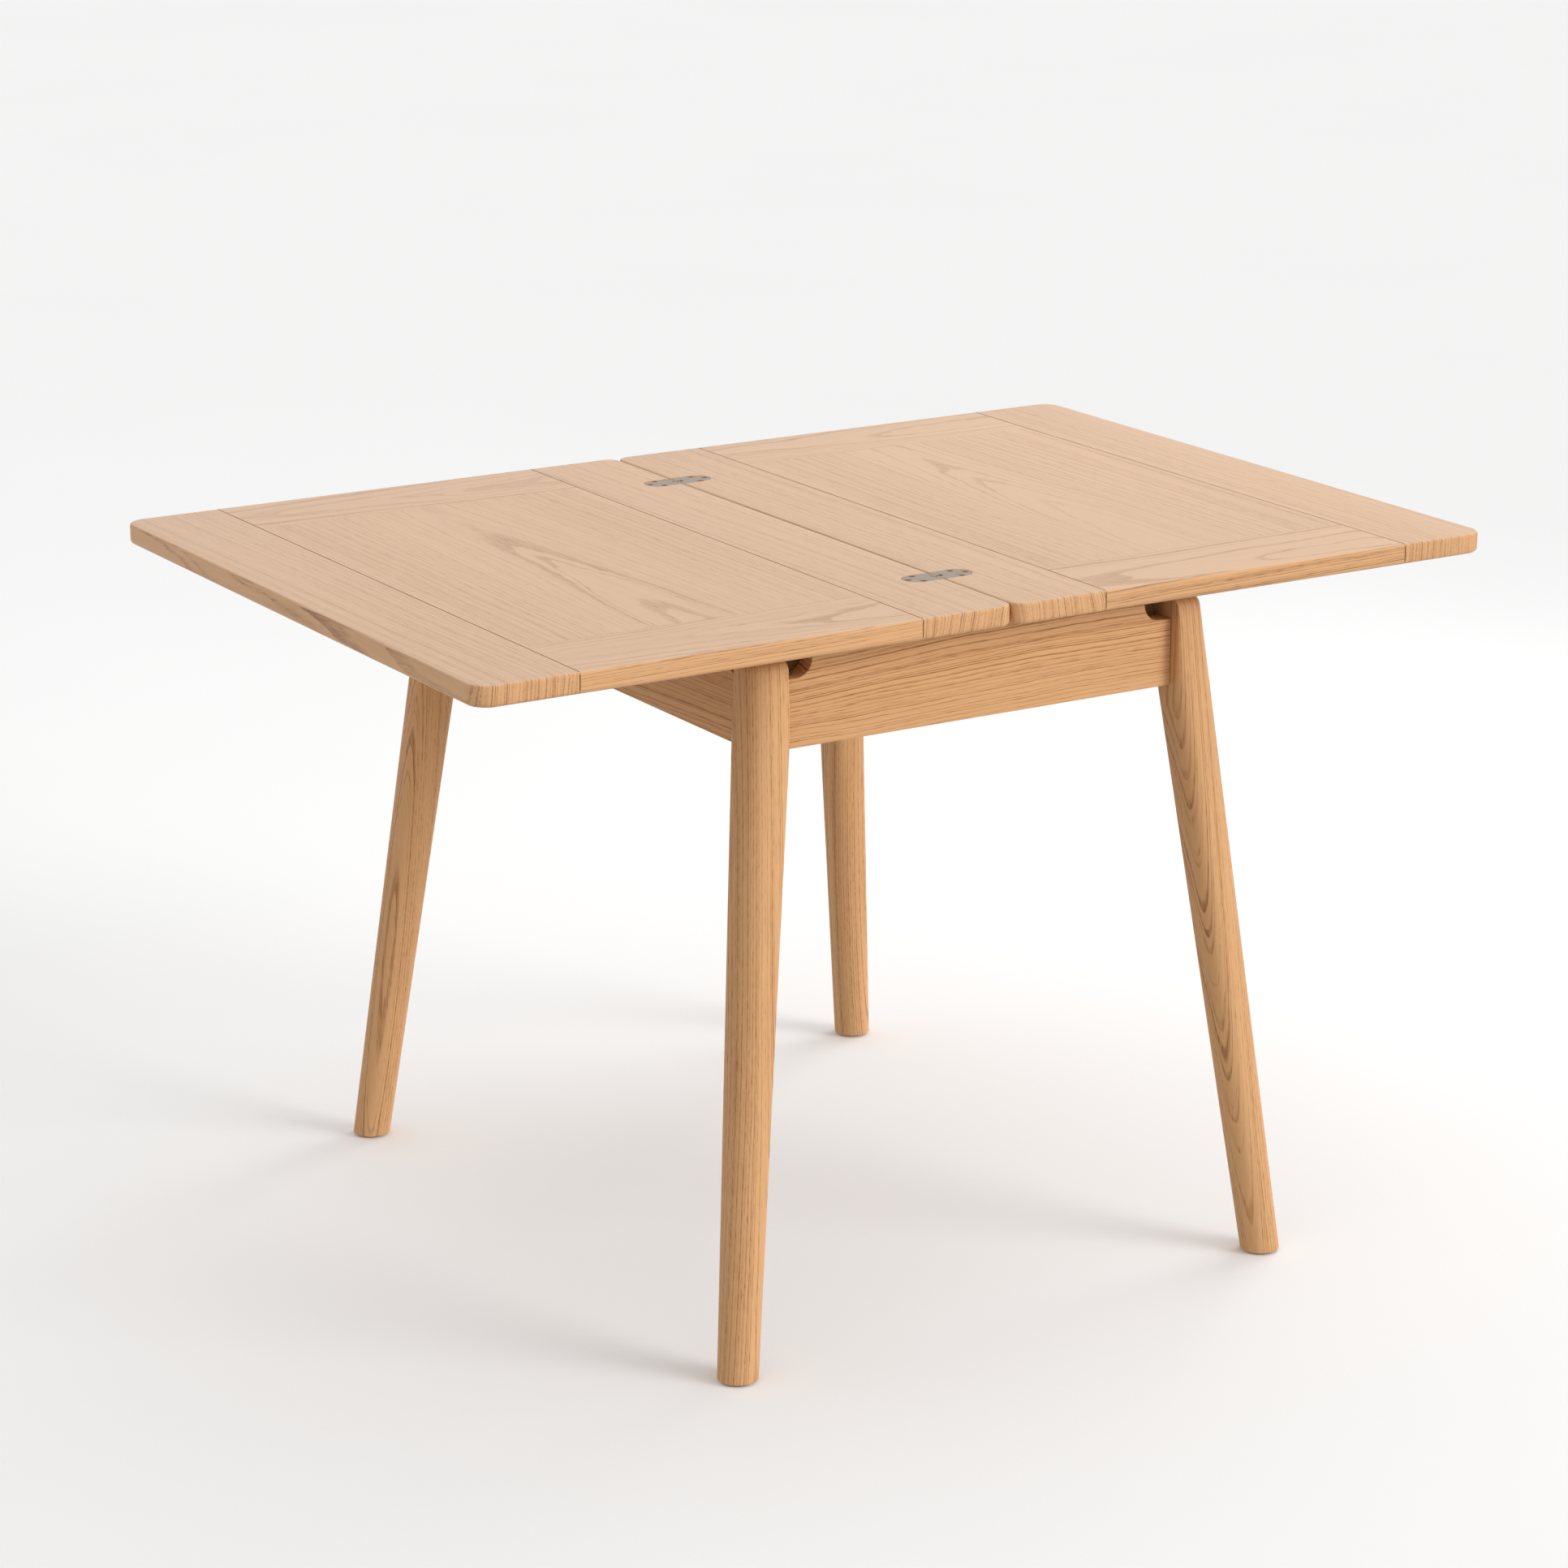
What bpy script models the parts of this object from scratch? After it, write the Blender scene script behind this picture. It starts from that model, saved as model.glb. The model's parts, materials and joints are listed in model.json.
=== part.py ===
"""Flip-top extending dining table, modelled open and ready to use.

Two equal leaves lie end to end on a splayed four-legged base. The flip leaf folds
up and over onto the main leaf on two flush counter-flap hinges, and the main leaf
slides along the base on two captured runners, so that the folded top ends up
centred over the legs. Metres, +Z up, +X from the main leaf to the flip leaf, with
the origin on the floor under the middle of the open top.
"""

import math

import bmesh
import bpy
from mathutils import Matrix, Vector

# Overall sizes.
TOP_LENGTH = 1.200
TOP_WIDTH = 0.800
TABLE_HEIGHT = 0.750
TOP_THICKNESS = 0.022

# Leaves: frame-and-panel boards, rounded corners and softened arrises.
STILE_WIDTH = 0.109
RAIL_WIDTH = 0.110
OUTER_CORNER_RADIUS = 0.022
HINGE_CORNER_RADIUS = 0.016
TOP_ARRIS = 0.003
BOTTOM_ARRIS = 0.005
GLUE_GAP = 0.0003
LEAF_GAP = 0.0003

# Legs: a rounded square at the top that becomes a round foot, splayed both ways. Their
# axes start inside the folded top's outline and reach the floor outside it.
LEG_TOP_INSET_X = 0.0533
LEG_TOP_INSET_Y = 0.0729
FOOT_OUTREACH_X = 0.0254
FOOT_OUTREACH_Y = 0.0047
LEG_TOP_WIDTH = 0.0514
FOOT_DIAMETER = 0.0414
LEG_OUTER_RADIUS = 0.0249
LEG_SIDE_RADIUS = 0.0156
LEG_INNER_RADIUS = 0.0151
LEG_BEND_DROP = 0.0207
LEG_TOP_DROP = 0.0145
LEG_TOP_ROUNDING = 0.010
FOOT_CHAMFER = 0.0015
GLIDE_THICKNESS = 0.002
GLIDE_DIAMETER = 0.033

# Aprons, with a notch beside each leg.
APRON_THICKNESS = 0.022
APRON_HEIGHT = 0.1055
APRON_OUTSET = 0.0275
NOTCH_WIDTH = 0.0338
NOTCH_DEPTH = 0.035
NOTCH_RADIUS = 0.019
SLIDE_GAP = 0.0008

# Corner blocks and the bolts that pull each leg into its corner.
BLOCK_HEIGHT = 0.090
BLOCK_LIFT = 0.010
BLOCK_NEAR = 0.012
BLOCK_FAR = 0.050
BOLT_DIAMETER = 0.006
BOLT_HEAD_DIAMETER = 0.015
BOLT_HEAD_HEIGHT = 0.0025
BOLT_INTO_LEG = 0.026
HOLE_CLEARANCE = 0.0003

# Slide: two grooved guides in the base and two tongued runners under the main leaf.
GUIDE_SPREAD = 0.400
GUIDE_WIDTH = 0.022
GUIDE_HEIGHT = 0.044
GROOVE_HEIGHT = 0.010
GROOVE_DEPTH = 0.010
GROOVE_DROP = 0.016
RUNNER_WIDTH = 0.020
RUNNER_HEIGHT = 0.030
SLIDE_CLEARANCE = 0.0006
STOP_CLEARANCE = 0.0010
CROSS_RAIL_WIDTH = 0.022
CROSS_RAIL_HEIGHT = 0.046

# Counter-flap hinges: two wings, a double link and two pins each.
HINGE_SPREAD = 0.518
WING_LENGTH = 0.040
WING_WIDTH = 0.030
WING_THICKNESS = 0.0025
WING_RECESS = 0.0001
PIN_DEPTH = 0.00335
PIN_DIAMETER = 0.0020
PIN_CLEARANCE = 0.00005
LINK_EYE_RADIUS = 0.0028
LINK_WAIST = 0.0026
LINK_WIDTH = 0.0050
LINK_CLEARANCE = 0.0003
KNUCKLE_WALL = 0.0015
KNUCKLE_EAR = 0.0035
SCREW_HEAD_DIAMETER = 0.0068
SCREW_DIAMETER = 0.0030
SCREW_LENGTH = 0.014
SCREW_RECESS = 0.00015
SCREW_PAIR_REACH = 0.023
SCREW_PAIR_SPREAD = 0.0216
SCREW_TIP_REACH = 0.0345

# Facets.
CORNER_STEPS = 6
ARRIS_STEPS = 3
LEG_CORNER_STEPS = 4
ROUND_STEPS = 16
PIN_STEPS = 24

# Worked out from the sizes above.
UNDERSIDE = TABLE_HEIGHT - TOP_THICKNESS
APRON_TOP = UNDERSIDE - SLIDE_GAP
APRON_BOTTOM = APRON_TOP - APRON_HEIGHT
LEG_TOP = UNDERSIDE - LEG_TOP_DROP
LEG_BEND_HEIGHT = APRON_BOTTOM - LEG_BEND_DROP
LEG_TOP_X = TOP_LENGTH / 4 - LEG_TOP_INSET_X
LEG_TOP_Y = TOP_WIDTH / 2 - LEG_TOP_INSET_Y
FOOT_X = TOP_LENGTH / 4 + FOOT_OUTREACH_X
FOOT_Y = TOP_WIDTH / 2 + FOOT_OUTREACH_Y
PIN_OFFSET = PIN_DEPTH + LEAF_GAP / 2
PIN_HEIGHT = TABLE_HEIGHT - PIN_DEPTH
FOLD_TRAVEL = TOP_LENGTH / 4

NEAR_FAR = (("near", -1), ("far", 1))
CORNERS = (
    ("near_left", -1, -1),
    ("near_right", 1, -1),
    ("far_left", -1, 1),
    ("far_right", 1, 1),
)


# ---------------------------------------------------------------- scene and materials


def clear_scene():
    for obj in list(bpy.data.objects):
        bpy.data.objects.remove(obj, do_unlink=True)


def new_collection(name):
    group = bpy.data.collections.new(name)
    bpy.context.scene.collection.children.link(group)
    return group


def new_material(name, colour, roughness, metallic):
    material = bpy.data.materials.new(name)
    material.use_nodes = True
    shader = material.node_tree.nodes["Principled BSDF"]
    shader.inputs["Base Color"].default_value = (*colour, 1.0)
    shader.inputs["Roughness"].default_value = roughness
    shader.inputs["Metallic"].default_value = metallic
    return material


clear_scene()
TABLE = new_collection("flip_top_table")
CUTTERS = new_collection("cutters")

MATERIALS = {
    "top_oak": new_material("top_oak", (0.69, 0.49, 0.33), 0.55, 0.0),
    "base_oak": new_material("base_oak", (0.62, 0.40, 0.23), 0.55, 0.0),
    "inner_wood": new_material("inner_wood", (0.55, 0.38, 0.24), 0.65, 0.0),
    "hinge_steel": new_material("hinge_steel", (0.36, 0.33, 0.29), 0.45, 0.9),
    "screw_steel": new_material("screw_steel", (0.30, 0.27, 0.23), 0.40, 0.9),
    "bolt_steel": new_material("bolt_steel", (0.45, 0.45, 0.46), 0.35, 1.0),
    "glide_felt": new_material("glide_felt", (0.30, 0.24, 0.18), 0.95, 0.0),
}


def new_empty(name, location, parent=None):
    """A parent that sits on the axis of the body's joint."""
    empty = bpy.data.objects.new(name, None)
    empty.empty_display_size = 0.05
    TABLE.objects.link(empty)
    place(empty, location, parent)
    return empty


def place(obj, location, parent=None):
    """Puts obj at a world location, under a parent that is not turned or scaled."""
    obj.location = Vector(location)
    if parent is not None:
        obj.parent = parent
        obj.location -= parent.matrix_world.translation
    bpy.context.view_layer.update()


def new_part(name, mesh, location, material, parent=None):
    mesh.materials.append(MATERIALS[material])
    obj = bpy.data.objects.new(name, mesh)
    TABLE.objects.link(obj)
    place(obj, location, parent)
    return obj


def new_cutter(name, mesh, location=(0, 0, 0)):
    obj = bpy.data.objects.new(name, mesh)
    CUTTERS.objects.link(obj)
    obj.hide_render = True
    obj.display_type = "WIRE"
    place(obj, location)
    return obj


def combine(obj, other, operation):
    modifier = obj.modifiers.new(f"{operation.lower()}_{other.name}", "BOOLEAN")
    modifier.operation = operation
    modifier.object = other


# ---------------------------------------------------------------- mesh helpers


def finish_mesh(name, bm, smooth=False):
    bmesh.ops.recalc_face_normals(bm, faces=bm.faces)
    mesh = bpy.data.meshes.new(name)
    bm.to_mesh(mesh)
    bm.free()
    if smooth:
        mesh.shade_smooth()
        mesh.set_sharp_from_angle(angle=math.radians(35))
    return mesh


def box_mesh(name, size):
    """A box of this size, centred on its origin."""
    bm = bmesh.new()
    bmesh.ops.create_cube(bm, size=1.0, matrix=Matrix.Diagonal((*size, 1.0)))
    return finish_mesh(name, bm)


def rod_mesh(name, diameter, length, axis="Z", steps=ROUND_STEPS):
    """A plain round bar, centred on its origin, along X, Y or Z."""
    turn = {
        "X": Matrix.Rotation(math.pi / 2, 4, "Y"),
        "Y": Matrix.Rotation(math.pi / 2, 4, "X"),
        "Z": Matrix.Identity(4),
    }[axis]
    radius = diameter / 2
    bm = bmesh.new()
    bmesh.ops.create_cone(
        bm, cap_ends=True, segments=steps, radius1=radius, radius2=radius,
        depth=length, matrix=turn,
    )
    return finish_mesh(name, bm, smooth=True)


def prism_bmesh(outline, low, high, axis="Z"):
    """A closed outline extruded from low to high along an axis.

    The outline's two numbers are (x, y) along Z, (y, z) along X and (x, z) along Y.
    """
    order = {"Z": lambda p, h: (p[0], p[1], h),
             "X": lambda p, h: (h, p[0], p[1]),
             "Y": lambda p, h: (p[0], h, p[1])}[axis]
    bm = bmesh.new()
    ends = [[bm.verts.new(order(p, h)) for p in outline] for h in (low, high)]
    bm.faces.new(ends[0])
    bm.faces.new(ends[1])
    count = len(outline)
    for i in range(count):
        j = (i + 1) % count
        bm.faces.new((ends[0][i], ends[0][j], ends[1][j], ends[1][i]))
    return bm


def prism_mesh(name, outline, low, high, axis="Z"):
    return finish_mesh(name, prism_bmesh(outline, low, high, axis))


def arc(centre, radius, start, end, steps):
    """Points along an arc, both ends included; angles in degrees."""
    angles = [math.radians(start + (end - start) * i / steps) for i in range(steps + 1)]
    return [
        (centre[0] + radius * math.cos(a), centre[1] + radius * math.sin(a))
        for a in angles
    ]


def rounded_rectangle(x0, x1, y0, y1, radii, steps):
    """A rectangle whose corner radii are given for (x1,y1), (x0,y1), (x0,y0), (x1,y0)."""
    r = radii
    return (
        arc((x1 - r[0], y1 - r[0]), r[0], 0, 90, steps)
        + arc((x0 + r[1], y1 - r[1]), r[1], 90, 180, steps)
        + arc((x0 + r[2], y0 + r[2]), r[2], 180, 270, steps)
        + arc((x1 - r[3], y0 + r[3]), r[3], 270, 360, steps)
    )


def turned_part(name, profile, steps, location, material, parent=None):
    """A part turned about its own Z axis. The profile runs down its outer side."""
    obj = new_part(name, profile_mesh(name, profile), location, material, parent)
    add_turning(obj, steps)
    return obj


def profile_mesh(name, profile):
    mesh = bpy.data.meshes.new(name)
    points = [(radius, 0.0, height) for radius, height in profile]
    edges = [(i, i + 1) for i in range(len(points) - 1)]
    mesh.from_pydata(points, edges, [])
    return mesh


def add_turning(obj, steps):
    screw = obj.modifiers.new("turned", "SCREW")
    screw.axis = "Z"
    screw.angle = 2 * math.pi
    screw.steps = steps
    screw.render_steps = steps
    screw.use_merge_vertices = True
    screw.merge_threshold = 0.00001
    screw.use_smooth_shade = True


# ---------------------------------------------------------------- legs and glides


def lerp(a, b, t):
    return a + (b - a) * t


def leg_centre(height):
    t = height / LEG_TOP
    return lerp(FOOT_X, LEG_TOP_X, t), lerp(FOOT_Y, LEG_TOP_Y, t)


def leg_half_width(height):
    return lerp(FOOT_DIAMETER, LEG_TOP_WIDTH, height / LEG_TOP) / 2


# Above the bend the inner faces are planed upright, so that the aprons butt against them.
LEG_INNER_X = leg_centre(LEG_BEND_HEIGHT)[0] - leg_half_width(LEG_BEND_HEIGHT)
LEG_INNER_Y = leg_centre(LEG_BEND_HEIGHT)[1] - leg_half_width(LEG_BEND_HEIGHT)


def leg_ring(height, inset):
    """The leg's outline at a height, drawn in by inset, for the far right leg."""
    cx, cy = leg_centre(height)
    half = leg_half_width(height) - inset
    radii = [
        lerp(FOOT_DIAMETER / 2, radius, height / LEG_TOP) - inset
        for radius in (LEG_OUTER_RADIUS, LEG_SIDE_RADIUS, LEG_INNER_RADIUS, LEG_SIDE_RADIUS)
    ]
    radii = [min(radius, 0.999 * half) for radius in radii]
    outline = rounded_rectangle(cx - half, cx + half, cy - half, cy + half,
                                radii, LEG_CORNER_STEPS)
    return [(x, y, height) for x, y in outline]


def leg_levels():
    """Heights of the leg's rings with how far each is drawn in, from foot to top."""
    foot = GLIDE_THICKNESS
    levels = [(foot, FOOT_CHAMFER), (foot + FOOT_CHAMFER, 0.0)]
    start = LEG_TOP - LEG_TOP_ROUNDING
    for i in range(4):
        angle = math.radians(75 * i / 3)
        rise = LEG_TOP_ROUNDING * math.sin(angle) / math.sin(math.radians(75))
        levels.append((start + rise, LEG_TOP_ROUNDING * (1 - math.cos(angle))))
    return levels


def leg_mesh(name, side_x, side_y):
    """A loft from the round foot to the rounded square top, about the foot's centre."""
    bm = bmesh.new()
    rings = []
    for height, inset in leg_levels():
        rings.append([
            bm.verts.new((side_x * (x - FOOT_X), side_y * (y - FOOT_Y), z))
            for x, y, z in leg_ring(height, inset)
        ])
    count = len(rings[0])
    for lower, upper in zip(rings, rings[1:]):
        for i in range(count):
            j = (i + 1) % count
            bm.faces.new((lower[i], lower[j], upper[j], upper[i]))
    bm.faces.new(rings[0])
    bm.faces.new(rings[-1])
    return finish_mesh(name, bm, smooth=True)


def make_legs(holes):
    for corner, side_x, side_y in CORNERS:
        foot = (side_x * FOOT_X, side_y * FOOT_Y, 0)
        leg = new_part(f"leg_{corner}", leg_mesh("leg", side_x, side_y), foot, "base_oak")
        name = f"leg_planing_{corner}"
        block = box_mesh(name, (TOP_LENGTH, TOP_WIDTH, 2 * TABLE_HEIGHT))
        centre = (side_x * (LEG_INNER_X + TOP_LENGTH / 2), side_y * (LEG_INNER_Y + TOP_WIDTH / 2), 0)
        combine(leg, new_cutter(name, block, centre), "INTERSECT")
        combine(leg, holes[corner], "DIFFERENCE")
        radius = GLIDE_DIAMETER / 2
        top = GLIDE_THICKNESS - GLUE_GAP
        profile = [(0, top), (radius, top), (radius, 0.0004), (radius - 0.0004, 0), (0, 0)]
        turned_part(f"foot_glide_{corner}", profile, ROUND_STEPS, foot, "glide_felt")


# ---------------------------------------------------------------- aprons


APRON_FACE_X = LEG_INNER_X + APRON_OUTSET
APRON_FACE_Y = LEG_INNER_Y + APRON_OUTSET
INSIDE_X = APRON_FACE_X - APRON_THICKNESS
INSIDE_Y = APRON_FACE_Y - APRON_THICKNESS


def apron_outline(half_length):
    """The apron seen from outside: a board with a round-cornered notch at each top end."""
    notch_floor = APRON_TOP - NOTCH_DEPTH
    wall = half_length - NOTCH_WIDTH
    centre_z = notch_floor + NOTCH_RADIUS
    right = arc((wall + NOTCH_RADIUS, centre_z), NOTCH_RADIUS, 180, 270, CORNER_STEPS)
    left = [(-x, z) for x, z in reversed(right)]
    return (
        [(-half_length, APRON_BOTTOM), (half_length, APRON_BOTTOM)]
        + [(half_length, notch_floor)] + list(reversed(right)) + [(wall, APRON_TOP)]
        + [(-wall, APRON_TOP)] + list(reversed(left)) + [(-half_length, notch_floor)]
    )


def make_aprons(holes):
    long_half = LEG_INNER_X - GLUE_GAP
    short_half = LEG_INNER_Y - GLUE_GAP
    half_thickness = APRON_THICKNESS / 2
    aprons = []
    for name, side in NEAR_FAR:
        mesh = prism_mesh("long_apron", apron_outline(long_half),
                          -half_thickness, half_thickness, "Y")
        centre = side * (APRON_FACE_Y - half_thickness)
        aprons.append(new_part(f"apron_{name}", mesh, (0, centre, 0), "base_oak"))
    for name, side in (("left", -1), ("right", 1)):
        mesh = prism_mesh("short_apron", apron_outline(short_half),
                          -half_thickness, half_thickness, "X")
        centre = side * (APRON_FACE_X - half_thickness)
        aprons.append(new_part(f"apron_{name}", mesh, (centre, 0, 0), "base_oak"))
    # A bolt passes between two aprons' ends, and thick aprons are notched for it.
    for apron in aprons:
        for hole in holes.values():
            combine(apron, hole, "DIFFERENCE")


# ---------------------------------------------------------------- corner blocks and bolts


BLOCK_BOTTOM = APRON_BOTTOM + BLOCK_LIFT
BOLT_HEIGHT = BLOCK_BOTTOM + BLOCK_HEIGHT / 2
BLOCK_INNER_FACE = BLOCK_FAR / math.sqrt(2)
# Along the corner's diagonal, from where the aprons' inner faces would meet.
BOLT_LENGTH = BLOCK_INNER_FACE + GLUE_GAP + BOLT_INTO_LEG


def diagonal_frame(side_x, side_y):
    """A frame at the aprons' inner corner, at bolt height, with +Z into the room."""
    inward = Vector((-side_x, -side_y, 0)).normalized()
    turn = inward.to_track_quat("Z", "Y").to_matrix().to_4x4()
    corner = Vector((side_x * INSIDE_X, side_y * INSIDE_Y, BOLT_HEIGHT))
    return Matrix.Translation(corner) @ turn


def set_frame(obj, frame):
    obj.location = frame.translation
    obj.rotation_euler = frame.to_euler()
    bpy.context.view_layer.update()


def make_bolt_holes():
    """At each corner, room for the bolt's shank from inside the block to its end in the leg."""
    start = -BOLT_INTO_LEG - HOLE_CLEARANCE
    end = BLOCK_INNER_FACE + BLOCK_NEAR
    diameter = BOLT_DIAMETER + 2 * HOLE_CLEARANCE
    holes = {}
    for corner, side_x, side_y in CORNERS:
        name = f"bolt_hole_{corner}"
        holes[corner] = new_cutter(name, rod_mesh(name, diameter, end - start))
        frame = diagonal_frame(side_x, side_y)
        set_frame(holes[corner], frame @ Matrix.Translation((0, 0, (start + end) / 2)))
    return holes


def bolt_profile():
    """A furniture bolt: broad flat head on the block's face, shank into the leg."""
    shank = BOLT_DIAMETER / 2
    head = BOLT_HEAD_DIAMETER / 2
    seat = BLOCK_INNER_FACE + GLUE_GAP
    edge = BOLT_HEAD_HEIGHT / 3
    tip = seat - BOLT_LENGTH
    return [
        (0, seat + BOLT_HEAD_HEIGHT), (head - edge, seat + BOLT_HEAD_HEIGHT),
        (head, seat + BOLT_HEAD_HEIGHT - edge), (head, seat), (shank, seat),
        (shank, tip + edge), (shank - edge, tip), (0, tip),
    ]


def make_corner_blocks(holes):
    for corner, side_x, side_y in CORNERS:
        x, y = side_x * INSIDE_X, side_y * INSIDE_Y
        outline = [
            (-side_x * u, -side_y * v)
            for u, v in ((GLUE_GAP, BLOCK_NEAR), (GLUE_GAP, BLOCK_FAR),
                         (BLOCK_FAR, GLUE_GAP), (BLOCK_NEAR, GLUE_GAP))
        ]
        mesh = prism_mesh("corner_block", outline, 0, BLOCK_HEIGHT)
        block = new_part(f"corner_block_{corner}", mesh, (x, y, BLOCK_BOTTOM), "inner_wood")
        combine(block, holes[corner], "DIFFERENCE")
        bolt = turned_part(f"leg_bolt_{corner}", bolt_profile(), ROUND_STEPS,
                           (0, 0, 0), "bolt_steel")
        set_frame(bolt, diagonal_frame(side_x, side_y))


# ---------------------------------------------------------------- guides, runners, cross rail


GUIDE_HALF_LENGTH = INSIDE_X - GLUE_GAP
RUNNER_LENGTH = 2 * (GUIDE_HALF_LENGTH - STOP_CLEARANCE) - FOLD_TRAVEL
GROOVE_CENTRE = APRON_TOP - GROOVE_DROP


def guide_outline(side):
    """The guide's section as (y, z), with its groove on the side facing the middle."""
    outer = (GUIDE_SPREAD + GUIDE_WIDTH) / 2
    inner = (GUIDE_SPREAD - GUIDE_WIDTH) / 2
    floor = inner + GROOVE_DEPTH
    low, high = GROOVE_CENTRE - GROOVE_HEIGHT / 2, GROOVE_CENTRE + GROOVE_HEIGHT / 2
    bottom = APRON_TOP - GUIDE_HEIGHT
    points = [(outer, bottom), (outer, APRON_TOP), (inner, APRON_TOP), (inner, high),
              (floor, high), (floor, low), (inner, low), (inner, bottom)]
    return [(side * y, z) for y, z in points]


def runner_outline(side):
    """The runner's section as (y, z): a bar with a tongue that fills the groove."""
    face = (GUIDE_SPREAD - GUIDE_WIDTH) / 2 - SLIDE_CLEARANCE
    back = face - RUNNER_WIDTH
    tip = face + GROOVE_DEPTH
    half = GROOVE_HEIGHT / 2 - SLIDE_CLEARANCE
    low, high = GROOVE_CENTRE - half, GROOVE_CENTRE + half
    top = UNDERSIDE - GLUE_GAP
    bottom = top - RUNNER_HEIGHT
    points = [(face, bottom), (face, low), (tip, low), (tip, high), (face, high),
              (face, top), (back, top), (back, bottom)]
    return [(side * y, z) for y, z in points]


def make_guides():
    for name, side in NEAR_FAR:
        mesh = prism_mesh("slide_guide", guide_outline(side),
                          -GUIDE_HALF_LENGTH, GUIDE_HALF_LENGTH, "X")
        new_part(f"slide_guide_{name}", mesh, (0, 0, 0), "inner_wood")


def make_cross_rail():
    size = (CROSS_RAIL_WIDTH, 2 * (INSIDE_Y - GLUE_GAP), CROSS_RAIL_HEIGHT)
    top = APRON_TOP - GUIDE_HEIGHT - GLUE_GAP
    centre = (0, 0, top - CROSS_RAIL_HEIGHT / 2)
    new_part("cross_rail", box_mesh("cross_rail", size), centre, "inner_wood")


def make_runners(parent):
    """The runners reach from one side apron, leaving the fold travel before the other."""
    start = STOP_CLEARANCE - GUIDE_HALF_LENGTH
    origin = parent.matrix_world.translation
    for name, side in NEAR_FAR:
        outline = [(y, z - origin.z) for y, z in runner_outline(side)]
        mesh = prism_mesh("runner", outline, 0, RUNNER_LENGTH, "X")
        new_part(f"runner_{name}", mesh, (start, 0, origin.z), "inner_wood", parent)


# ---------------------------------------------------------------- leaves


INNER_EDGE = LEAF_GAP / 2
OUTER_EDGE = TOP_LENGTH / 2
HALF_WIDTH = TOP_WIDTH / 2


def leaf_blank(side):
    """One whole leaf as (x, y, z) about the floor origin, with rounded rims."""
    x0, x1 = sorted((side * INNER_EDGE, side * OUTER_EDGE))
    right, left = (OUTER_CORNER_RADIUS, HINGE_CORNER_RADIUS)[:: side]
    outline = rounded_rectangle(x0, x1, -HALF_WIDTH, HALF_WIDTH,
                                (right, left, left, right), CORNER_STEPS)
    bm = prism_bmesh(outline, UNDERSIDE, TABLE_HEIGHT)
    bmesh.ops.recalc_face_normals(bm, faces=bm.faces)
    for height, radius in ((TABLE_HEIGHT, TOP_ARRIS), (UNDERSIDE, BOTTOM_ARRIS)):
        rim = [e for e in bm.edges if all(abs(v.co.z - height) < 1e-6 for v in e.verts)]
        bmesh.ops.bevel(bm, geom=rim, offset=radius, segments=ARRIS_STEPS,
                        profile=0.5, affect="EDGES", clamp_overlap=True)
    return bm


def board_boxes(side):
    """Each board's share of the leaf, as (x0, x1, y0, y1) with x away from the hinges."""
    seam = GLUE_GAP / 2
    inner = INNER_EDGE + STILE_WIDTH
    outer = OUTER_EDGE - STILE_WIDTH
    rail = HALF_WIDTH - RAIL_WIDTH
    past = 0.01
    shares = {
        "hinge_stile": (-past, inner - seam, -HALF_WIDTH - past, HALF_WIDTH + past),
        "outer_stile": (outer + seam, OUTER_EDGE + past, -HALF_WIDTH - past, HALF_WIDTH + past),
        "near_rail": (inner + seam, outer - seam, -HALF_WIDTH - past, -rail - seam),
        "far_rail": (inner + seam, outer - seam, rail + seam, HALF_WIDTH + past),
        "panel": (inner + seam, outer - seam, -rail + seam, rail - seam),
    }
    return {
        name: (*sorted((side * x0, side * x1)), y0, y1)
        for name, (x0, x1, y0, y1) in shares.items()
    }


def share_cutter(name, share):
    """A box over one board's share, passing the leaf above and below."""
    x0, x1, y0, y1 = share
    size = (x1 - x0, y1 - y0, 3 * TOP_THICKNESS)
    centre = ((x0 + x1) / 2, (y0 + y1) / 2, TABLE_HEIGHT - TOP_THICKNESS / 2)
    return new_cutter(name, box_mesh(name, size), centre)


def make_leaf(leaf, side, parent):
    origin = parent.matrix_world.translation
    boards = {}
    for board, share in board_boxes(side).items():
        name = f"{leaf}_{board}"
        bm = leaf_blank(side)
        bmesh.ops.translate(bm, verts=bm.verts, vec=-origin)
        mesh = finish_mesh("leaf_board", bm)
        boards[board] = new_part(name, mesh, origin, "top_oak", parent)
        combine(boards[board], share_cutter(f"{name}_share", share), "INTERSECT")
    return boards


# ---------------------------------------------------------------- hinges


WING_TOP = TABLE_HEIGHT - WING_RECESS
SLOT_REACH = PIN_OFFSET + LINK_EYE_RADIUS + LINK_CLEARANCE
SLOT_FLOOR = PIN_HEIGHT - LINK_EYE_RADIUS - LINK_CLEARANCE
KNUCKLE_REACH = SLOT_REACH + KNUCKLE_WALL
KNUCKLE_FLOOR = SLOT_FLOOR - KNUCKLE_WALL
KNUCKLE_HALF_WIDTH = LINK_WIDTH / 2 + LINK_CLEARANCE + KNUCKLE_EAR
SCREW_TOP = WING_TOP - SCREW_RECESS


def wing_outline(side, grow):
    """Half a stadium from the leaf's edge to its round tip, as (x, y)."""
    radius = WING_WIDTH / 2
    edge = INNER_EDGE if grow == 0 else -grow
    tip = arc((WING_LENGTH - radius, 0), radius + grow, -90, 90, 2 * CORNER_STEPS)
    return [(side * x, y) for x, y in [(edge, -radius - grow)] + tip + [(edge, radius + grow)]]


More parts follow.
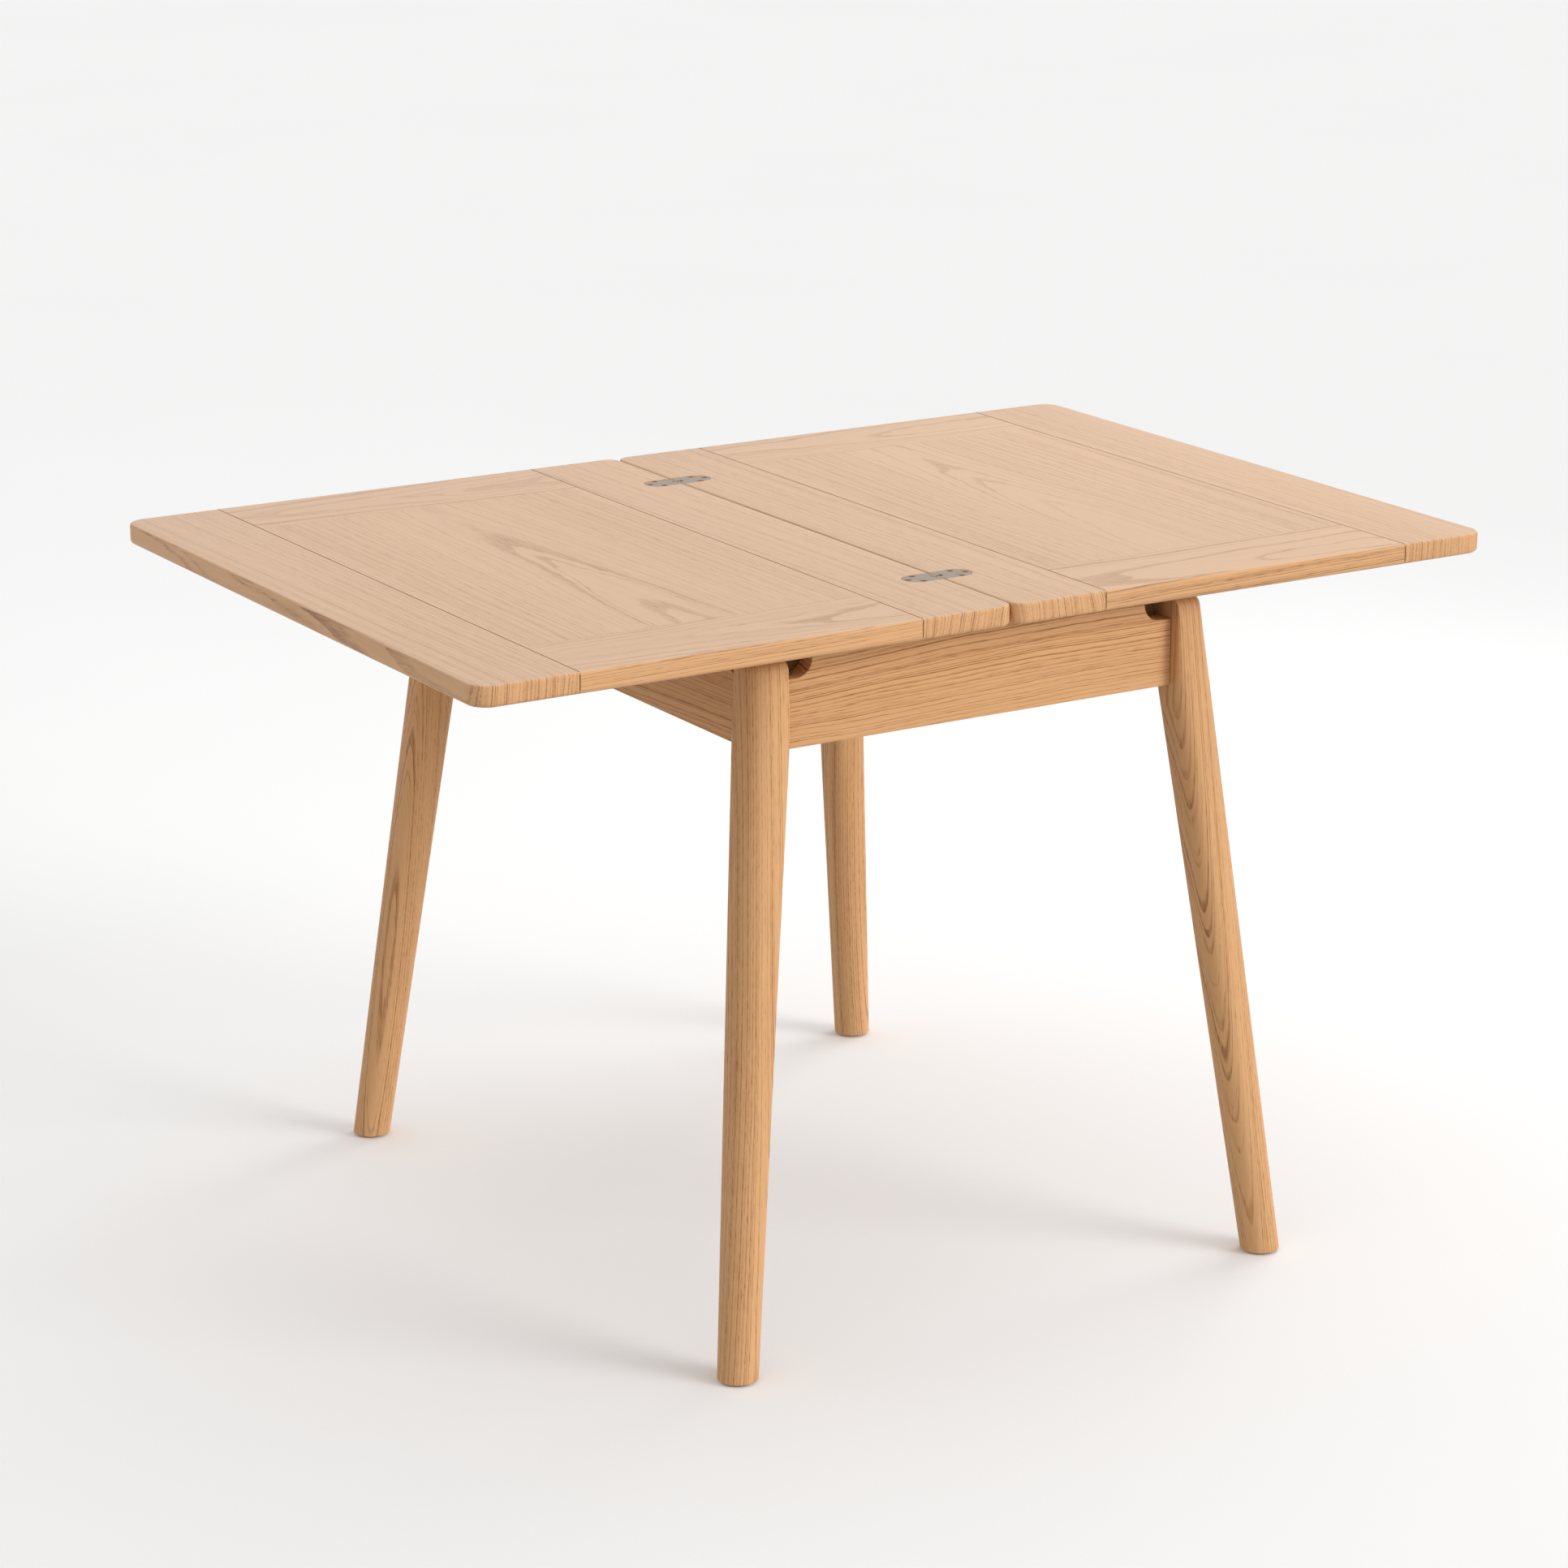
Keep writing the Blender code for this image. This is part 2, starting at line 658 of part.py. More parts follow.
def knuckle_mesh(name, side, grow):
    """The block under the wing that holds the pin, or its pocket when grown."""
    start = INNER_EDGE if grow == 0 else -grow
    reach = KNUCKLE_REACH + grow
    half = KNUCKLE_HALF_WIDTH + grow
    floor = KNUCKLE_FLOOR - grow
    top = WING_TOP - WING_THICKNESS / 2
    outline = [(side * x, y) for x, y in ((start, -half), (reach, -half), (reach, half), (start, half))]
    return prism_mesh(name, outline, floor, top)


def edge_outline(side):
    """The rounded joint edge as (x, z), which the wings share with the boards."""
    top, radius = WING_TOP, TOP_ARRIS
    corner = arc((INNER_EDGE + radius, top - radius), radius, 180, 90, 2 * ARRIS_STEPS)
    far, low = 2 * WING_LENGTH, top - TOP_THICKNESS
    return [(side * x, z) for x, z in [(INNER_EDGE, low)] + corner + [(far, top), (far, low)]]


def screw_profile(grow):
    """A countersunk screw hung from its head's top, or its hole when grown."""
    head = SCREW_HEAD_DIAMETER / 2 + grow
    shank = SCREW_DIAMETER / 2 + grow
    rim = 0.0003 + grow
    cone = rim + head - shank
    tip = SCREW_LENGTH + grow
    top = grow * 3
    return [(0, top), (head, top), (head, -rim), (shank, -cone),
            (shank, shank - tip), (0, -tip)]


def screw_places(side, y):
    pair = [(side * SCREW_PAIR_REACH, y + s * SCREW_PAIR_SPREAD / 2) for s in (-1, 1)]
    return pair + [(side * SCREW_TIP_REACH, y)]


def link_outline():
    """The double link as (x, z) about the first pin: two round eyes and a waist."""
    dip = math.degrees(math.asin(LINK_WAIST / 2 / LINK_EYE_RADIUS))
    second = (2 * PIN_OFFSET, 0)
    steps = 2 * CORNER_STEPS
    return (arc((0, 0), LINK_EYE_RADIUS, dip, 360 - dip, steps)
            + arc(second, LINK_EYE_RADIUS, -180 + dip, 180 - dip, steps))


def make_link(hinge, y, parent):
    origin = parent.matrix_world.translation
    half = LINK_WIDTH / 2
    mesh = prism_mesh("hinge_link", link_outline(), -half, half, "Y")
    link = new_part(f"hinge_link_{hinge}", mesh, (origin.x, y, origin.z), "hinge_steel", parent)
    bore = PIN_DIAMETER + 2 * PIN_CLEARANCE
    for end, x in (("main", -PIN_OFFSET), ("flip", PIN_OFFSET)):
        name = f"link_bore_{hinge}_{end}"
        cutter = new_cutter(name, rod_mesh(name, bore, 2 * LINK_WIDTH, "Y", PIN_STEPS),
                            (x, y, PIN_HEIGHT))
        combine(link, cutter, "DIFFERENCE")


def make_wing(leaf, hinge, side, y, parent, stile):
    """One wing with its pin and screws, and their seats in the stile under it."""
    tag = f"{leaf}_{hinge}"
    origin = parent.matrix_world.translation
    bm = prism_bmesh(wing_outline(side, 0), WING_TOP - WING_THICKNESS, WING_TOP)
    bmesh.ops.translate(bm, verts=bm.verts, vec=(-origin.x, 0, -origin.z))
    wing = new_part(f"hinge_wing_{tag}", finish_mesh("hinge_wing", bm),
                    (origin.x, y, origin.z), "hinge_steel", parent)
    name = f"knuckle_{tag}"
    combine(wing, new_cutter(name, knuckle_mesh(name, side, 0), (0, y, 0)), "UNION")
    name = f"joint_edge_{tag}"
    edge = prism_mesh(name, edge_outline(side), -WING_WIDTH, WING_WIDTH, "Y")
    combine(wing, new_cutter(name, edge, (0, y, 0)), "INTERSECT")
    name = f"link_slot_{tag}"
    slot_size = (2 * SLOT_REACH, LINK_WIDTH + 2 * LINK_CLEARANCE, 4 * PIN_DEPTH)
    slot_centre = (0, y, SLOT_FLOOR + slot_size[2] / 2)
    combine(wing, new_cutter(name, box_mesh(name, slot_size), slot_centre), "DIFFERENCE")

    pin_x = side * PIN_OFFSET
    name = f"pin_bore_{tag}"
    bore = rod_mesh(name, PIN_DIAMETER + 2 * PIN_CLEARANCE, WING_WIDTH, "Y", PIN_STEPS)
    combine(wing, new_cutter(name, bore, (pin_x, y, PIN_HEIGHT)), "DIFFERENCE")
    pin_length = 2 * (KNUCKLE_HALF_WIDTH - GLUE_GAP)
    pin = rod_mesh("hinge_pin", PIN_DIAMETER, pin_length, "Y", PIN_STEPS)
    new_part(f"hinge_pin_{tag}", pin, (pin_x, y, PIN_HEIGHT), "screw_steel", parent)

    name = f"wing_pocket_{tag}"
    floor = WING_TOP - WING_THICKNESS - HOLE_CLEARANCE
    pocket = prism_mesh(name, wing_outline(side, HOLE_CLEARANCE), floor,
                        TABLE_HEIGHT + TOP_THICKNESS)
    combine(stile, new_cutter(name, pocket, (0, y, 0)), "DIFFERENCE")
    name = f"knuckle_pocket_{tag}"
    pocket = knuckle_mesh(name, side, HOLE_CLEARANCE)
    combine(stile, new_cutter(name, pocket, (0, y, 0)), "DIFFERENCE")

    for number, (x, screw_y) in enumerate(screw_places(side, y), start=1):
        screw_at = (x, screw_y, SCREW_TOP)
        screw = turned_part(f"hinge_screw_{tag}_{number}", screw_profile(0), ROUND_STEPS,
                            screw_at, "screw_steel", parent)
        screw.data.name = "hinge_screw"
        name = f"screw_hole_{tag}_{number}"
        hole = new_cutter(name, profile_mesh(name, screw_profile(HOLE_CLEARANCE)), screw_at)
        add_turning(hole, ROUND_STEPS)
        combine(wing, hole, "DIFFERENCE")
        combine(stile, hole, "DIFFERENCE")


# ---------------------------------------------------------------- the table


def main():
    holes = make_bolt_holes()
    make_legs(holes)
    make_aprons(holes)
    make_corner_blocks(holes)
    make_guides()
    make_cross_rail()

    main_leaf = new_empty("main_leaf_frame", (0, 0, UNDERSIDE))
    links = new_empty("hinge_link_frame", (-PIN_OFFSET, 0, PIN_HEIGHT), main_leaf)
    flip_leaf = new_empty("flip_leaf_frame", (PIN_OFFSET, 0, PIN_HEIGHT), links)

    make_runners(main_leaf)
    for leaf, side, parent in (("main", -1, main_leaf), ("flip", 1, flip_leaf)):
        boards = make_leaf(f"{leaf}_leaf", side, parent)
        for hinge, end in NEAR_FAR:
            y = end * HINGE_SPREAD / 2
            make_wing(leaf, hinge, side, y, parent, boards["hinge_stile"])
    for hinge, end in NEAR_FAR:
        make_link(hinge, end * HINGE_SPREAD / 2, links)


main()
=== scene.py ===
# %% [markdown]
# # A flip-top dining table in oak
#
# The table has two equal leaves on a splayed base. The leaf on the right folds up and
# over onto the other on two flush hinges, and the leaf under it slides along the base so
# that the folded top ends up over the middle of the legs.
#
# The CAD model already holds every size and every joint. This lesson puts finer meshes,
# wood grain, metal, light and a camera around it. Everything is in metres with +Z up.

import json
import math
import random

import bmesh
import bpy
from mathutils import Matrix, Vector


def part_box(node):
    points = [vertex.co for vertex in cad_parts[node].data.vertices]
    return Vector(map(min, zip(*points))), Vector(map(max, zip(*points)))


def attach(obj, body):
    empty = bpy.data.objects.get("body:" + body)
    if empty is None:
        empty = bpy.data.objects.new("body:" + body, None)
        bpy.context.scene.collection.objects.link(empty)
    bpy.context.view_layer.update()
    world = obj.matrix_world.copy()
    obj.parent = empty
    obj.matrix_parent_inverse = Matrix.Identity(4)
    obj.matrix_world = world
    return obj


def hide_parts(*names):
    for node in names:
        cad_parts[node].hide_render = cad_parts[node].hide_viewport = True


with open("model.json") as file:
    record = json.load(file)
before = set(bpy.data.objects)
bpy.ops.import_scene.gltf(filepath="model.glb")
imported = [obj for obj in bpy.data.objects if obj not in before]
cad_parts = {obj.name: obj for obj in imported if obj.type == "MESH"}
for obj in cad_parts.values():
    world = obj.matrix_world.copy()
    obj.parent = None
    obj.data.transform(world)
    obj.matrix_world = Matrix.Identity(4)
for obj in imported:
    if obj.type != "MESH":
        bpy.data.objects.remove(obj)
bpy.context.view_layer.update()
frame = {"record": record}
RECORD = frame["record"]
BODY_OF = {node: body for body, nodes in RECORD["behaviour"]["bodies"].items() for node in nodes}

# %% [markdown]
# ## Shader maths in plain Python
#
# A material is a graph of nodes, and a formula with ten steps needs ten of them. A small
# class that wraps a socket lets the formula be written as a formula: each operator adds
# the Math node that it stands for. The reflected forms are there so that `1 - mask` works
# as well as `mask - 1`. Colours never pass through Math nodes, which would turn them
# grey, so they have their own two helpers on the Mix node.

# %% A socket that takes part in sums
class Wire:
    """An output socket that Python's operators work on."""

    def __init__(self, socket):
        self.socket = socket
        self.tree = socket.id_data

    @classmethod
    def node(cls, tree, kind, settings=None, values=None, output=0):
        """Any node: its settings first, then the values or links of its sockets."""
        node = tree.nodes.new(kind)
        for name, value in (settings or {}).items():
            setattr(node, name, value)
        for name, value in (values or {}).items():
            if isinstance(value, cls):
                tree.links.new(value.socket, node.inputs[name])
            else:
                node.inputs[name].default_value = value
        return cls(node.outputs[output])

    def math(self, operation, *others):
        values = {0: self}
        values.update({i: other for i, other in enumerate(others, start=1)})
        return Wire.node(self.tree, "ShaderNodeMath", {"operation": operation}, values)

    def reflected(self, operation, other):
        values = {0: other, 1: self}
        return Wire.node(self.tree, "ShaderNodeMath", {"operation": operation}, values)

    def __add__(self, other):
        return self.math("ADD", other)

    def __sub__(self, other):
        return self.math("SUBTRACT", other)

    def __mul__(self, other):
        return self.math("MULTIPLY", other)

    def __truediv__(self, other):
        return self.math("DIVIDE", other)

    def __radd__(self, other):
        return self.reflected("ADD", other)

    def __rsub__(self, other):
        return self.reflected("SUBTRACT", other)

    def __rmul__(self, other):
        return self.reflected("MULTIPLY", other)

    def __rtruediv__(self, other):
        return self.reflected("DIVIDE", other)

    def ramp(self, low, high):
        """0 below low, 1 above high, and a smooth rise between them."""
        values = {"Value": self, "From Min": low, "From Max": high}
        return Wire.node(self.tree, "ShaderNodeMapRange", {"interpolation_type": "SMOOTHSTEP"}, values)

    def stretched(self, scale):
        """A vector stretched along each of its own axes."""
        return Wire.node(self.tree, "ShaderNodeVectorMath", {"operation": "MULTIPLY"}, {0: self, 1: scale})

    def noise(self, scale, detail=2.0, roughness=0.5):
        """Smooth noise from 0 to 1 that reads this vector, stretched by scale."""
        values = {"Vector": self.stretched(scale), "Scale": 1.0, "Detail": detail, "Roughness": roughness}
        return Wire.node(self.tree, "ShaderNodeTexNoise", {"noise_dimensions": "3D"}, values)

    def tint(self, low, high):
        """A colour between two colours, by this value."""
        settings = {"data_type": "RGBA", "blend_type": "MIX"}
        colours = {0: self, 6: low if isinstance(low, Wire) else (*low, 1.0)}
        colours[7] = high if isinstance(high, Wire) else (*high, 1.0)
        return Wire.node(self.tree, "ShaderNodeMix", settings, colours, output=2)


def attribute(tree, name, output=2):
    """A number or a vector that the mesh carries."""
    return Wire.node(tree, "ShaderNodeAttribute", {"attribute_name": name}, output=output)


def split(vector):
    """The three parts of a vector."""
    return [Wire.node(vector.tree, "ShaderNodeSeparateXYZ", {}, {0: vector}, output=i) for i in range(3)]


def new_material(name, **constants):
    """A material, its node tree and its shader, with its constant sockets set."""
    material = bpy.data.materials.new(name)
    material.use_nodes = True
    tree = material.node_tree
    shader = tree.nodes["Principled BSDF"]
    for socket, value in constants.items():
        shader.inputs[socket.replace("_", " ")].default_value = value
    return material, tree, shader


def feed(shader, **wires):
    """Links what varies over the surface to the shader's sockets."""
    for socket, wire in wires.items():
        wire.tree.links.new(wire.socket, shader.inputs[socket.replace("_", " ")])


def relief(height, distance, strength=1.0):
    """A bump, whose height is given in units of distance."""
    values = {"Height": height, "Distance": distance, "Strength": strength}
    return Wire.node(height.tree, "ShaderNodeBump", {}, values)


print("shader maths ready")

# %% [markdown]
# ## Oak, grown as a log
#
# A board shows straight lines on one face, arches on the next and curved rings on its
# end, because all of them are cuts through the same log. A flat picture of grain can't do
# that round a corner. So this oak is solid: every vertex carries its place in the log, x
# along the trunk and y and z across it, measured from the heart. The distance from the
# heart counts the years, and every face cuts them as a saw would.
#
# Each year starts with a band of spring wood, which is open, full of pores and dark. It
# fades into the dense pale wood of summer, and every year's band has its own strength. The
# fibres are noise stretched along the trunk, and the pores are short dark dashes that
# gather in the spring wood.
#
# Four more values come from the mesh. The first is where an edge wears, which is also lightened as a
# painted highlight along the arris. The second is how much a face is end grain, which drinks more of the
# finish and turns darker. The third is each board's own tone. The last is how much a face looks up,
# because faces that look up are painted paler as a painted sheen, in place of the bright sky's
# whitish reflection on the lacquer.

# %% The oak shader
EARLY = 0.08    # the part of a year by which its dark band starts before the year does


def oak(name, own_colours, painted_top_sheen, pore_colour, pitch, contrast, wander, rough, gloss, coat):
    """The first two are each a light and a dark colour: the wood's own, and the paler painted sheen for
    faces that look up, in place of the sky's reflection on the lacquer. Pitch is a year in metres.
    """
    material, tree, shader = new_material(name, Coat_Roughness=0.38, IOR=1.45, Coat_Weight=coat,
                                          Specular_IOR_Level=gloss)
    log = attribute(tree, "log", output=1)
    across, up = split(log)[1:]
    worn_and_highlit, end_grain, board = split(attribute(tree, "touch", output=1))
    # Painted sheen: faces that look up are painted paler, in place of the bright sky's whitish reflection
    # on the lacquer top.
    painted_sheen_mask = attribute(tree, "painted_top_sheen")

    heart = (across * across + up * up).math("SQRT")
    slow = log.noise((1.6, 7.0, 7.0), detail=2.0) - 0.5
    quick = log.noise((11.0, 38.0, 38.0), detail=3.0, roughness=0.6) - 0.5
    years = (heart + slow * wander + quick * wander * 0.16) / pitch
    spread = {"W": years * 0.23, "Detail": 1.0}
    uneven = Wire.node(tree, "ShaderNodeTexNoise", {"noise_dimensions": "1D"}, spread)
    years = years + uneven * 1.8
    season = years.math("FRACT")
    year = (years + EARLY).math("FLOOR")
    this_year = Wire.node(tree, "ShaderNodeTexWhiteNoise", {"noise_dimensions": "1D"}, {"W": year})
    spring = 1.0 - season.ramp(EARLY, 0.46) + season.ramp(1.0 - EARLY, 1.0)

    fibre = log.noise((12.0, 620.0, 620.0), detail=3.0, roughness=0.65)
    streak = log.noise((2.2, 95.0, 95.0), detail=3.0, roughness=0.6)
    cloud = log.noise((1.3, 11.0, 11.0), detail=2.0)
    dash = log.noise((48.0, 780.0, 780.0), detail=2.0, roughness=0.6)
    pores = dash.ramp(0.54, 0.68) * (0.22 + spring * 0.78)

    lines = spring * (0.38 + this_year * 0.62) * (0.66 + dash.ramp(0.35, 0.65) * 0.42)
    darkness = lines * contrast + (streak - 0.5) * 0.55 * contrast + (fibre - 0.5) * 0.75 * contrast
    darkness = darkness + (cloud - 0.5) * 0.40 + (board - 0.5) * 0.22 + 0.23
    depth = darkness.ramp(-0.05, 1.05)
    # Faces that look up take the paler colours, a painted sheen, and show fewer pores under it.
    plain = painted_sheen_mask.tint(depth.tint(*own_colours), depth.tint(*painted_top_sheen))
    with_pores = (pores * 0.40 * (1.0 - painted_sheen_mask * 0.45)).tint(plain, pore_colour)
    ends = (end_grain * 0.30).tint(with_pores, tuple(0.80 * c for c in own_colours[1]))
    # Edges that wear are rubbed paler, and the same lightening is a painted highlight along the arris.
    rubbed_and_highlit = (worn_and_highlit * fibre.ramp(0.35, 0.75) * 0.25).tint(ends, tuple(min(1.0, 1.08 * c) for c in own_colours[0]))

    roughness = rough + (fibre - 0.5) * 0.16 + pores * 0.14 + end_grain * 0.12 - worn_and_highlit * 0.06
    height = (fibre - 0.5) * 0.5 - pores * 1.1 - spring * 0.25
    feed(shader, Base_Color=rubbed_and_highlit, Roughness=roughness, Normal=relief(height, 0.00012, 0.55))
    return material


WARM = ((0.68, 0.385, 0.183), (0.33, 0.142, 0.050))
# Paler colours for faces that look up: a painted sheen in place of the sky's reflection on the lacquer.
PAINTED_SHEEN_COLOURS = ((0.720, 0.475, 0.302), (0.53, 0.320, 0.178))
# Very dark oak for the pieces inside the base: painted shade for the deep shade they stand in under the
# top.
INSIDE_PAINTED_SHADE = ((0.19, 0.100, 0.046), (0.095, 0.044, 0.018))
DEEP_PORE = (0.19, 0.080, 0.030)
TOP_OAK = oak("oak_top_lacquered", WARM, PAINTED_SHEEN_COLOURS, DEEP_PORE, pitch=0.0040, contrast=0.85, wander=0.016,
              rough=0.46, gloss=0.45, coat=0.22)
BASE_OAK = oak("oak_apron_lacquered", WARM, WARM, DEEP_PORE, pitch=0.0044, contrast=0.90, wander=0.028,
               rough=0.52, gloss=0.28, coat=0.0)
LEG_OAK = oak("oak_leg_lacquered", WARM, WARM, DEEP_PORE, pitch=0.0027, contrast=0.70, wander=0.009,
              rough=0.52, gloss=0.28, coat=0.0)
INNER_OAK_PAINTED_SHADE = oak("oak_inside_painted_shade", INSIDE_PAINTED_SHADE, INSIDE_PAINTED_SHADE, DEEP_PORE, pitch=0.0036, contrast=0.60,
                wander=0.014, rough=0.64, gloss=0.25, coat=0.0)
print("oak for the top, the aprons, the legs and the inside")

# %% [markdown]
# ## Seams, steel and felt
#
# Where two boards meet, a shallow groove gathers finish and dust. It is also painted dark
# brown, as painted shade for the shade in the groove and in the gap between the two
# leaves, so it reads as one dark line. It needs no texture of its own beyond a little
# unevenness, so that it doesn't look drawn. The hinge plates are nickel-plated steel brushed
# along their length, the screws have a brown bronze finish, and the bolts are bright zinc.
# All of them are the same recipe with different numbers: stretched noise for the brushing
# and soft noise for handling.

# %% Seam, metals and felt
def seam_finish_and_shade():
    material, tree, shader = new_material("seam_line_and_painted_shade", Roughness=0.7)
    log = attribute(tree, "log", output=1)
    gathered = log.noise((30.0, 300.0, 300.0), detail=3.0)
    # Dark brown: finish gathered in the groove, and painted shade for the groove and the gap between the
    # leaves.
    shade = gathered.ramp(0.25, 0.8).tint((0.17, 0.070, 0.026), (0.34, 0.160, 0.068))
    feed(shader, Base_Color=shade, Roughness=0.6 + gathered * 0.3)
    return material


BRUSHED_DEPTH = 0.00003


def metal(name, bright, dull, rough, brushed):
    """brushed is how fine its lines are along each axis, per metre."""
    material, tree, shader = new_material(name, Metallic=1.0)
    place = Wire.node(tree, "ShaderNodeTexCoord", output=3)
    lines = place.noise(brushed, detail=3.0, roughness=0.7)
    handled = place.noise((160.0, 160.0, 160.0), detail=3.0)
    fine = place.noise((2400.0, 2400.0, 2400.0), detail=1.0)
    spots = handled.ramp(0.52, 0.74) * 0.7 + (lines - 0.5) * 0.35 + (fine - 0.5) * 0.2
    colour = spots.ramp(0.0, 0.8).tint(bright, dull)
    feed(shader, Base_Color=colour, Roughness=rough + (lines - 0.5) * 0.22 + handled * 0.08,
         Normal=relief(lines + fine * 0.4, BRUSHED_DEPTH, 0.35))
    return material


def felt():
    material, tree, shader = new_material("felt_brown", Roughness=0.95, Sheen_Weight=0.25)
    place = Wire.node(tree, "ShaderNodeTexCoord", output=3)
    hair = place.noise((1800.0, 1800.0, 2600.0), detail=3.0, roughness=0.7)
    shade = hair.ramp(0.3, 0.7).tint((0.10, 0.065, 0.042), (0.21, 0.15, 0.10))
    feed(shader, Base_Color=shade, Normal=relief(hair, 0.0004, 0.7))
    return material


SEAM_AND_PAINTED_SHADE = seam_finish_and_shade()
NICKEL = metal("nickel_brushed", (0.53, 0.435, 0.35), (0.39, 0.305, 0.235), 0.38, (300.0, 2600.0, 300.0))
BRONZE = metal("bronze_plated", (0.36, 0.17, 0.075), (0.19, 0.085, 0.04), 0.46, (900.0, 900.0, 900.0))
ZINC = metal("zinc_bright", (0.62, 0.62, 0.60), (0.42, 0.42, 0.41), 0.30, (700.0, 700.0, 2000.0))
FELT = felt()
print("nickel, bronze, zinc, felt and the seam line")

# %% [markdown]
# ## Putting a piece on its body
#
# Each finer piece is built in place, stands for the CAD node of the same part and rides on
# the same body, so the joints move it. Modifiers are run into the mesh before that. Flat
# faces next to a rounded edge need weighted normals: without them the shading bends across
# a whole table top because of a rounding only three millimetres wide.

# %% Helpers that finish and place a mesh
def mesh_from(name, bm):
    bmesh.ops.recalc_face_normals(bm, faces=bm.faces)
    mesh = bpy.data.meshes.new(name)
    bm.to_mesh(mesh)
    bm.free()
    return mesh


def bench_object(name, bm):
    """An object in the scene that is still being worked on."""
    obj = bpy.data.objects.new(name, mesh_from(name, bm))
    bpy.context.scene.collection.objects.link(obj)
    return obj


def settle(obj):
    """Runs the modifiers into the mesh."""
    graph = bpy.context.evaluated_depsgraph_get()
    mesh = bpy.data.meshes.new_from_object(obj.evaluated_get(graph))
    obj.modifiers.clear()
    old = obj.data
    obj.data = mesh
    bpy.data.meshes.remove(old)


def cut(obj, operation, *shapes):
    """Boolean steps, one after another. Each shape is used up."""
    tools = [bench_object(f"tool_{i}", bm) for i, bm in enumerate(shapes)]
    for tool in tools:
        step = obj.modifiers.new("cut", "BOOLEAN")
        step.operation = operation
        step.object = tool
    settle(obj)
    for tool in tools:
        bpy.data.meshes.remove(tool.data)


def soften(obj, width, steps=2):
    """Breaks every sharp edge with a small rounding."""
    bevel = obj.modifiers.new("soften", "BEVEL")
    bevel.width = width
    bevel.segments = steps
    bevel.limit_method = "ANGLE"
    bevel.angle_limit = math.radians(32)
    bevel.use_clamp_overlap = True
    settle(obj)


def polish(obj, angle=42):
    """Smooth shading that keeps flat faces flat."""
    obj.data.shade_smooth()
    obj.data.set_sharp_from_angle(angle=math.radians(angle))
    weighted = obj.modifiers.new("weighted", "WEIGHTED_NORMAL")
    weighted.keep_sharp = True
    weighted.weight = 80
    settle(obj)


def install(obj, node):
    """Names the piece after its CAD node, and puts it on that node's body."""
    obj.name = f"{node}_finished"
    obj.data.name = obj.name
    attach(obj, BODY_OF[node])
    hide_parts(node)


def paint(obj, *materials):
    """The piece's finishes, in the order of its faces' material numbers."""
    obj.data.materials.clear()
    for material in materials:
        obj.data.materials.append(material)


print("helpers ready")

# %% [markdown]
# ## Where a board lies in its log
#
# A carpenter looks at the end of a board to see where its heart was. This helper does the
# reverse: it is told the heart's place and which way the trunk ran, and writes each
# vertex's place in the log. A small lean between board and trunk draws the long arches on
# a flat-sawn face. The choice of lean and shift is drawn from the part's name, so it is
# different for every board and the same on every run.

# %% Writing the log onto a mesh
AXES = {"X": Vector((1, 0, 0)), "Y": Vector((0, 1, 0)), "Z": Vector((0, 0, 1))}


def lay_in_log(obj, node, trunk, heart, lean=0.012, wear_and_highlight_faces=None):
    """trunk is the grain's axis; heart is one point of the log's middle, in metres."""
    chance = random.Random(node)
    shift = chance.uniform(-3.0, 3.0)
    board = chance.random()
    grain = AXES[trunk]
    side = AXES["Y" if trunk == "X" else "X"]
    lift = grain.cross(side)
    leant = grain + side * chance.uniform(-lean, lean) + lift * chance.uniform(0.5, 1.0) * lean
    leant.normalize()
    side = (side - leant * side.dot(leant)).normalized()
    lift = leant.cross(side)
    origin = Vector(heart)
    mesh = obj.data
    log = mesh.attributes.new("log", "FLOAT_VECTOR", "POINT")
    for vertex in mesh.vertices:
        away = vertex.co - origin
        log.data[vertex.index].vector = (away.dot(leant) + shift, away.dot(side), away.dot(lift))
    touch = mesh.attributes.new("touch", "FLOAT_VECTOR", "CORNER")
    painted_top_sheen = mesh.attributes.new("painted_top_sheen", "FLOAT", "CORNER")
    for face in mesh.polygons:
        # Where an edge wears, and where the arris gets its painted highlight.
        worn_and_highlit = wear_and_highlight_faces(face) if wear_and_highlight_faces else 0.0
        ends = abs(face.normal.dot(grain))
        # How much a face looks up, which sets how much painted sheen it gets.
        upward = min(1.0, max(0.0, (face.normal.z - 0.55) / 0.40))
        for corner in face.loop_indices:
            touch.data[corner].vector = (worn_and_highlit, ends * ends, board)
            painted_top_sheen.data[corner].value = upward


def middle(node):
    low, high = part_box(node)
    return (low + high) / 2


def tilted_face(face):
    """1 on a face that is neither level nor upright, which is where an edge wears and where a painted
    highlight lies along the arris.
    """
    upright = max(abs(face.normal.x), abs(face.normal.y), abs(face.normal.z))
    return 1.0 if upright < 0.985 else 0.0


print("logs ready")

# %% [markdown]
# ## Outlines
#
# Nearly every wooden part is a drawn outline sawn out of a plank, so one helper extrudes
# an outline along an axis and another gives the points of an arc. Sixteen steps to a
# quarter turn keep a rounded corner smooth in a close view.

# %% Arcs and prisms
def arc(centre, radius, start, end, steps=16):
    angles = [math.radians(start + (end - start) * i / steps) for i in range(steps + 1)]
    return [(centre[0] + radius * math.cos(a), centre[1] + radius * math.sin(a)) for a in angles]


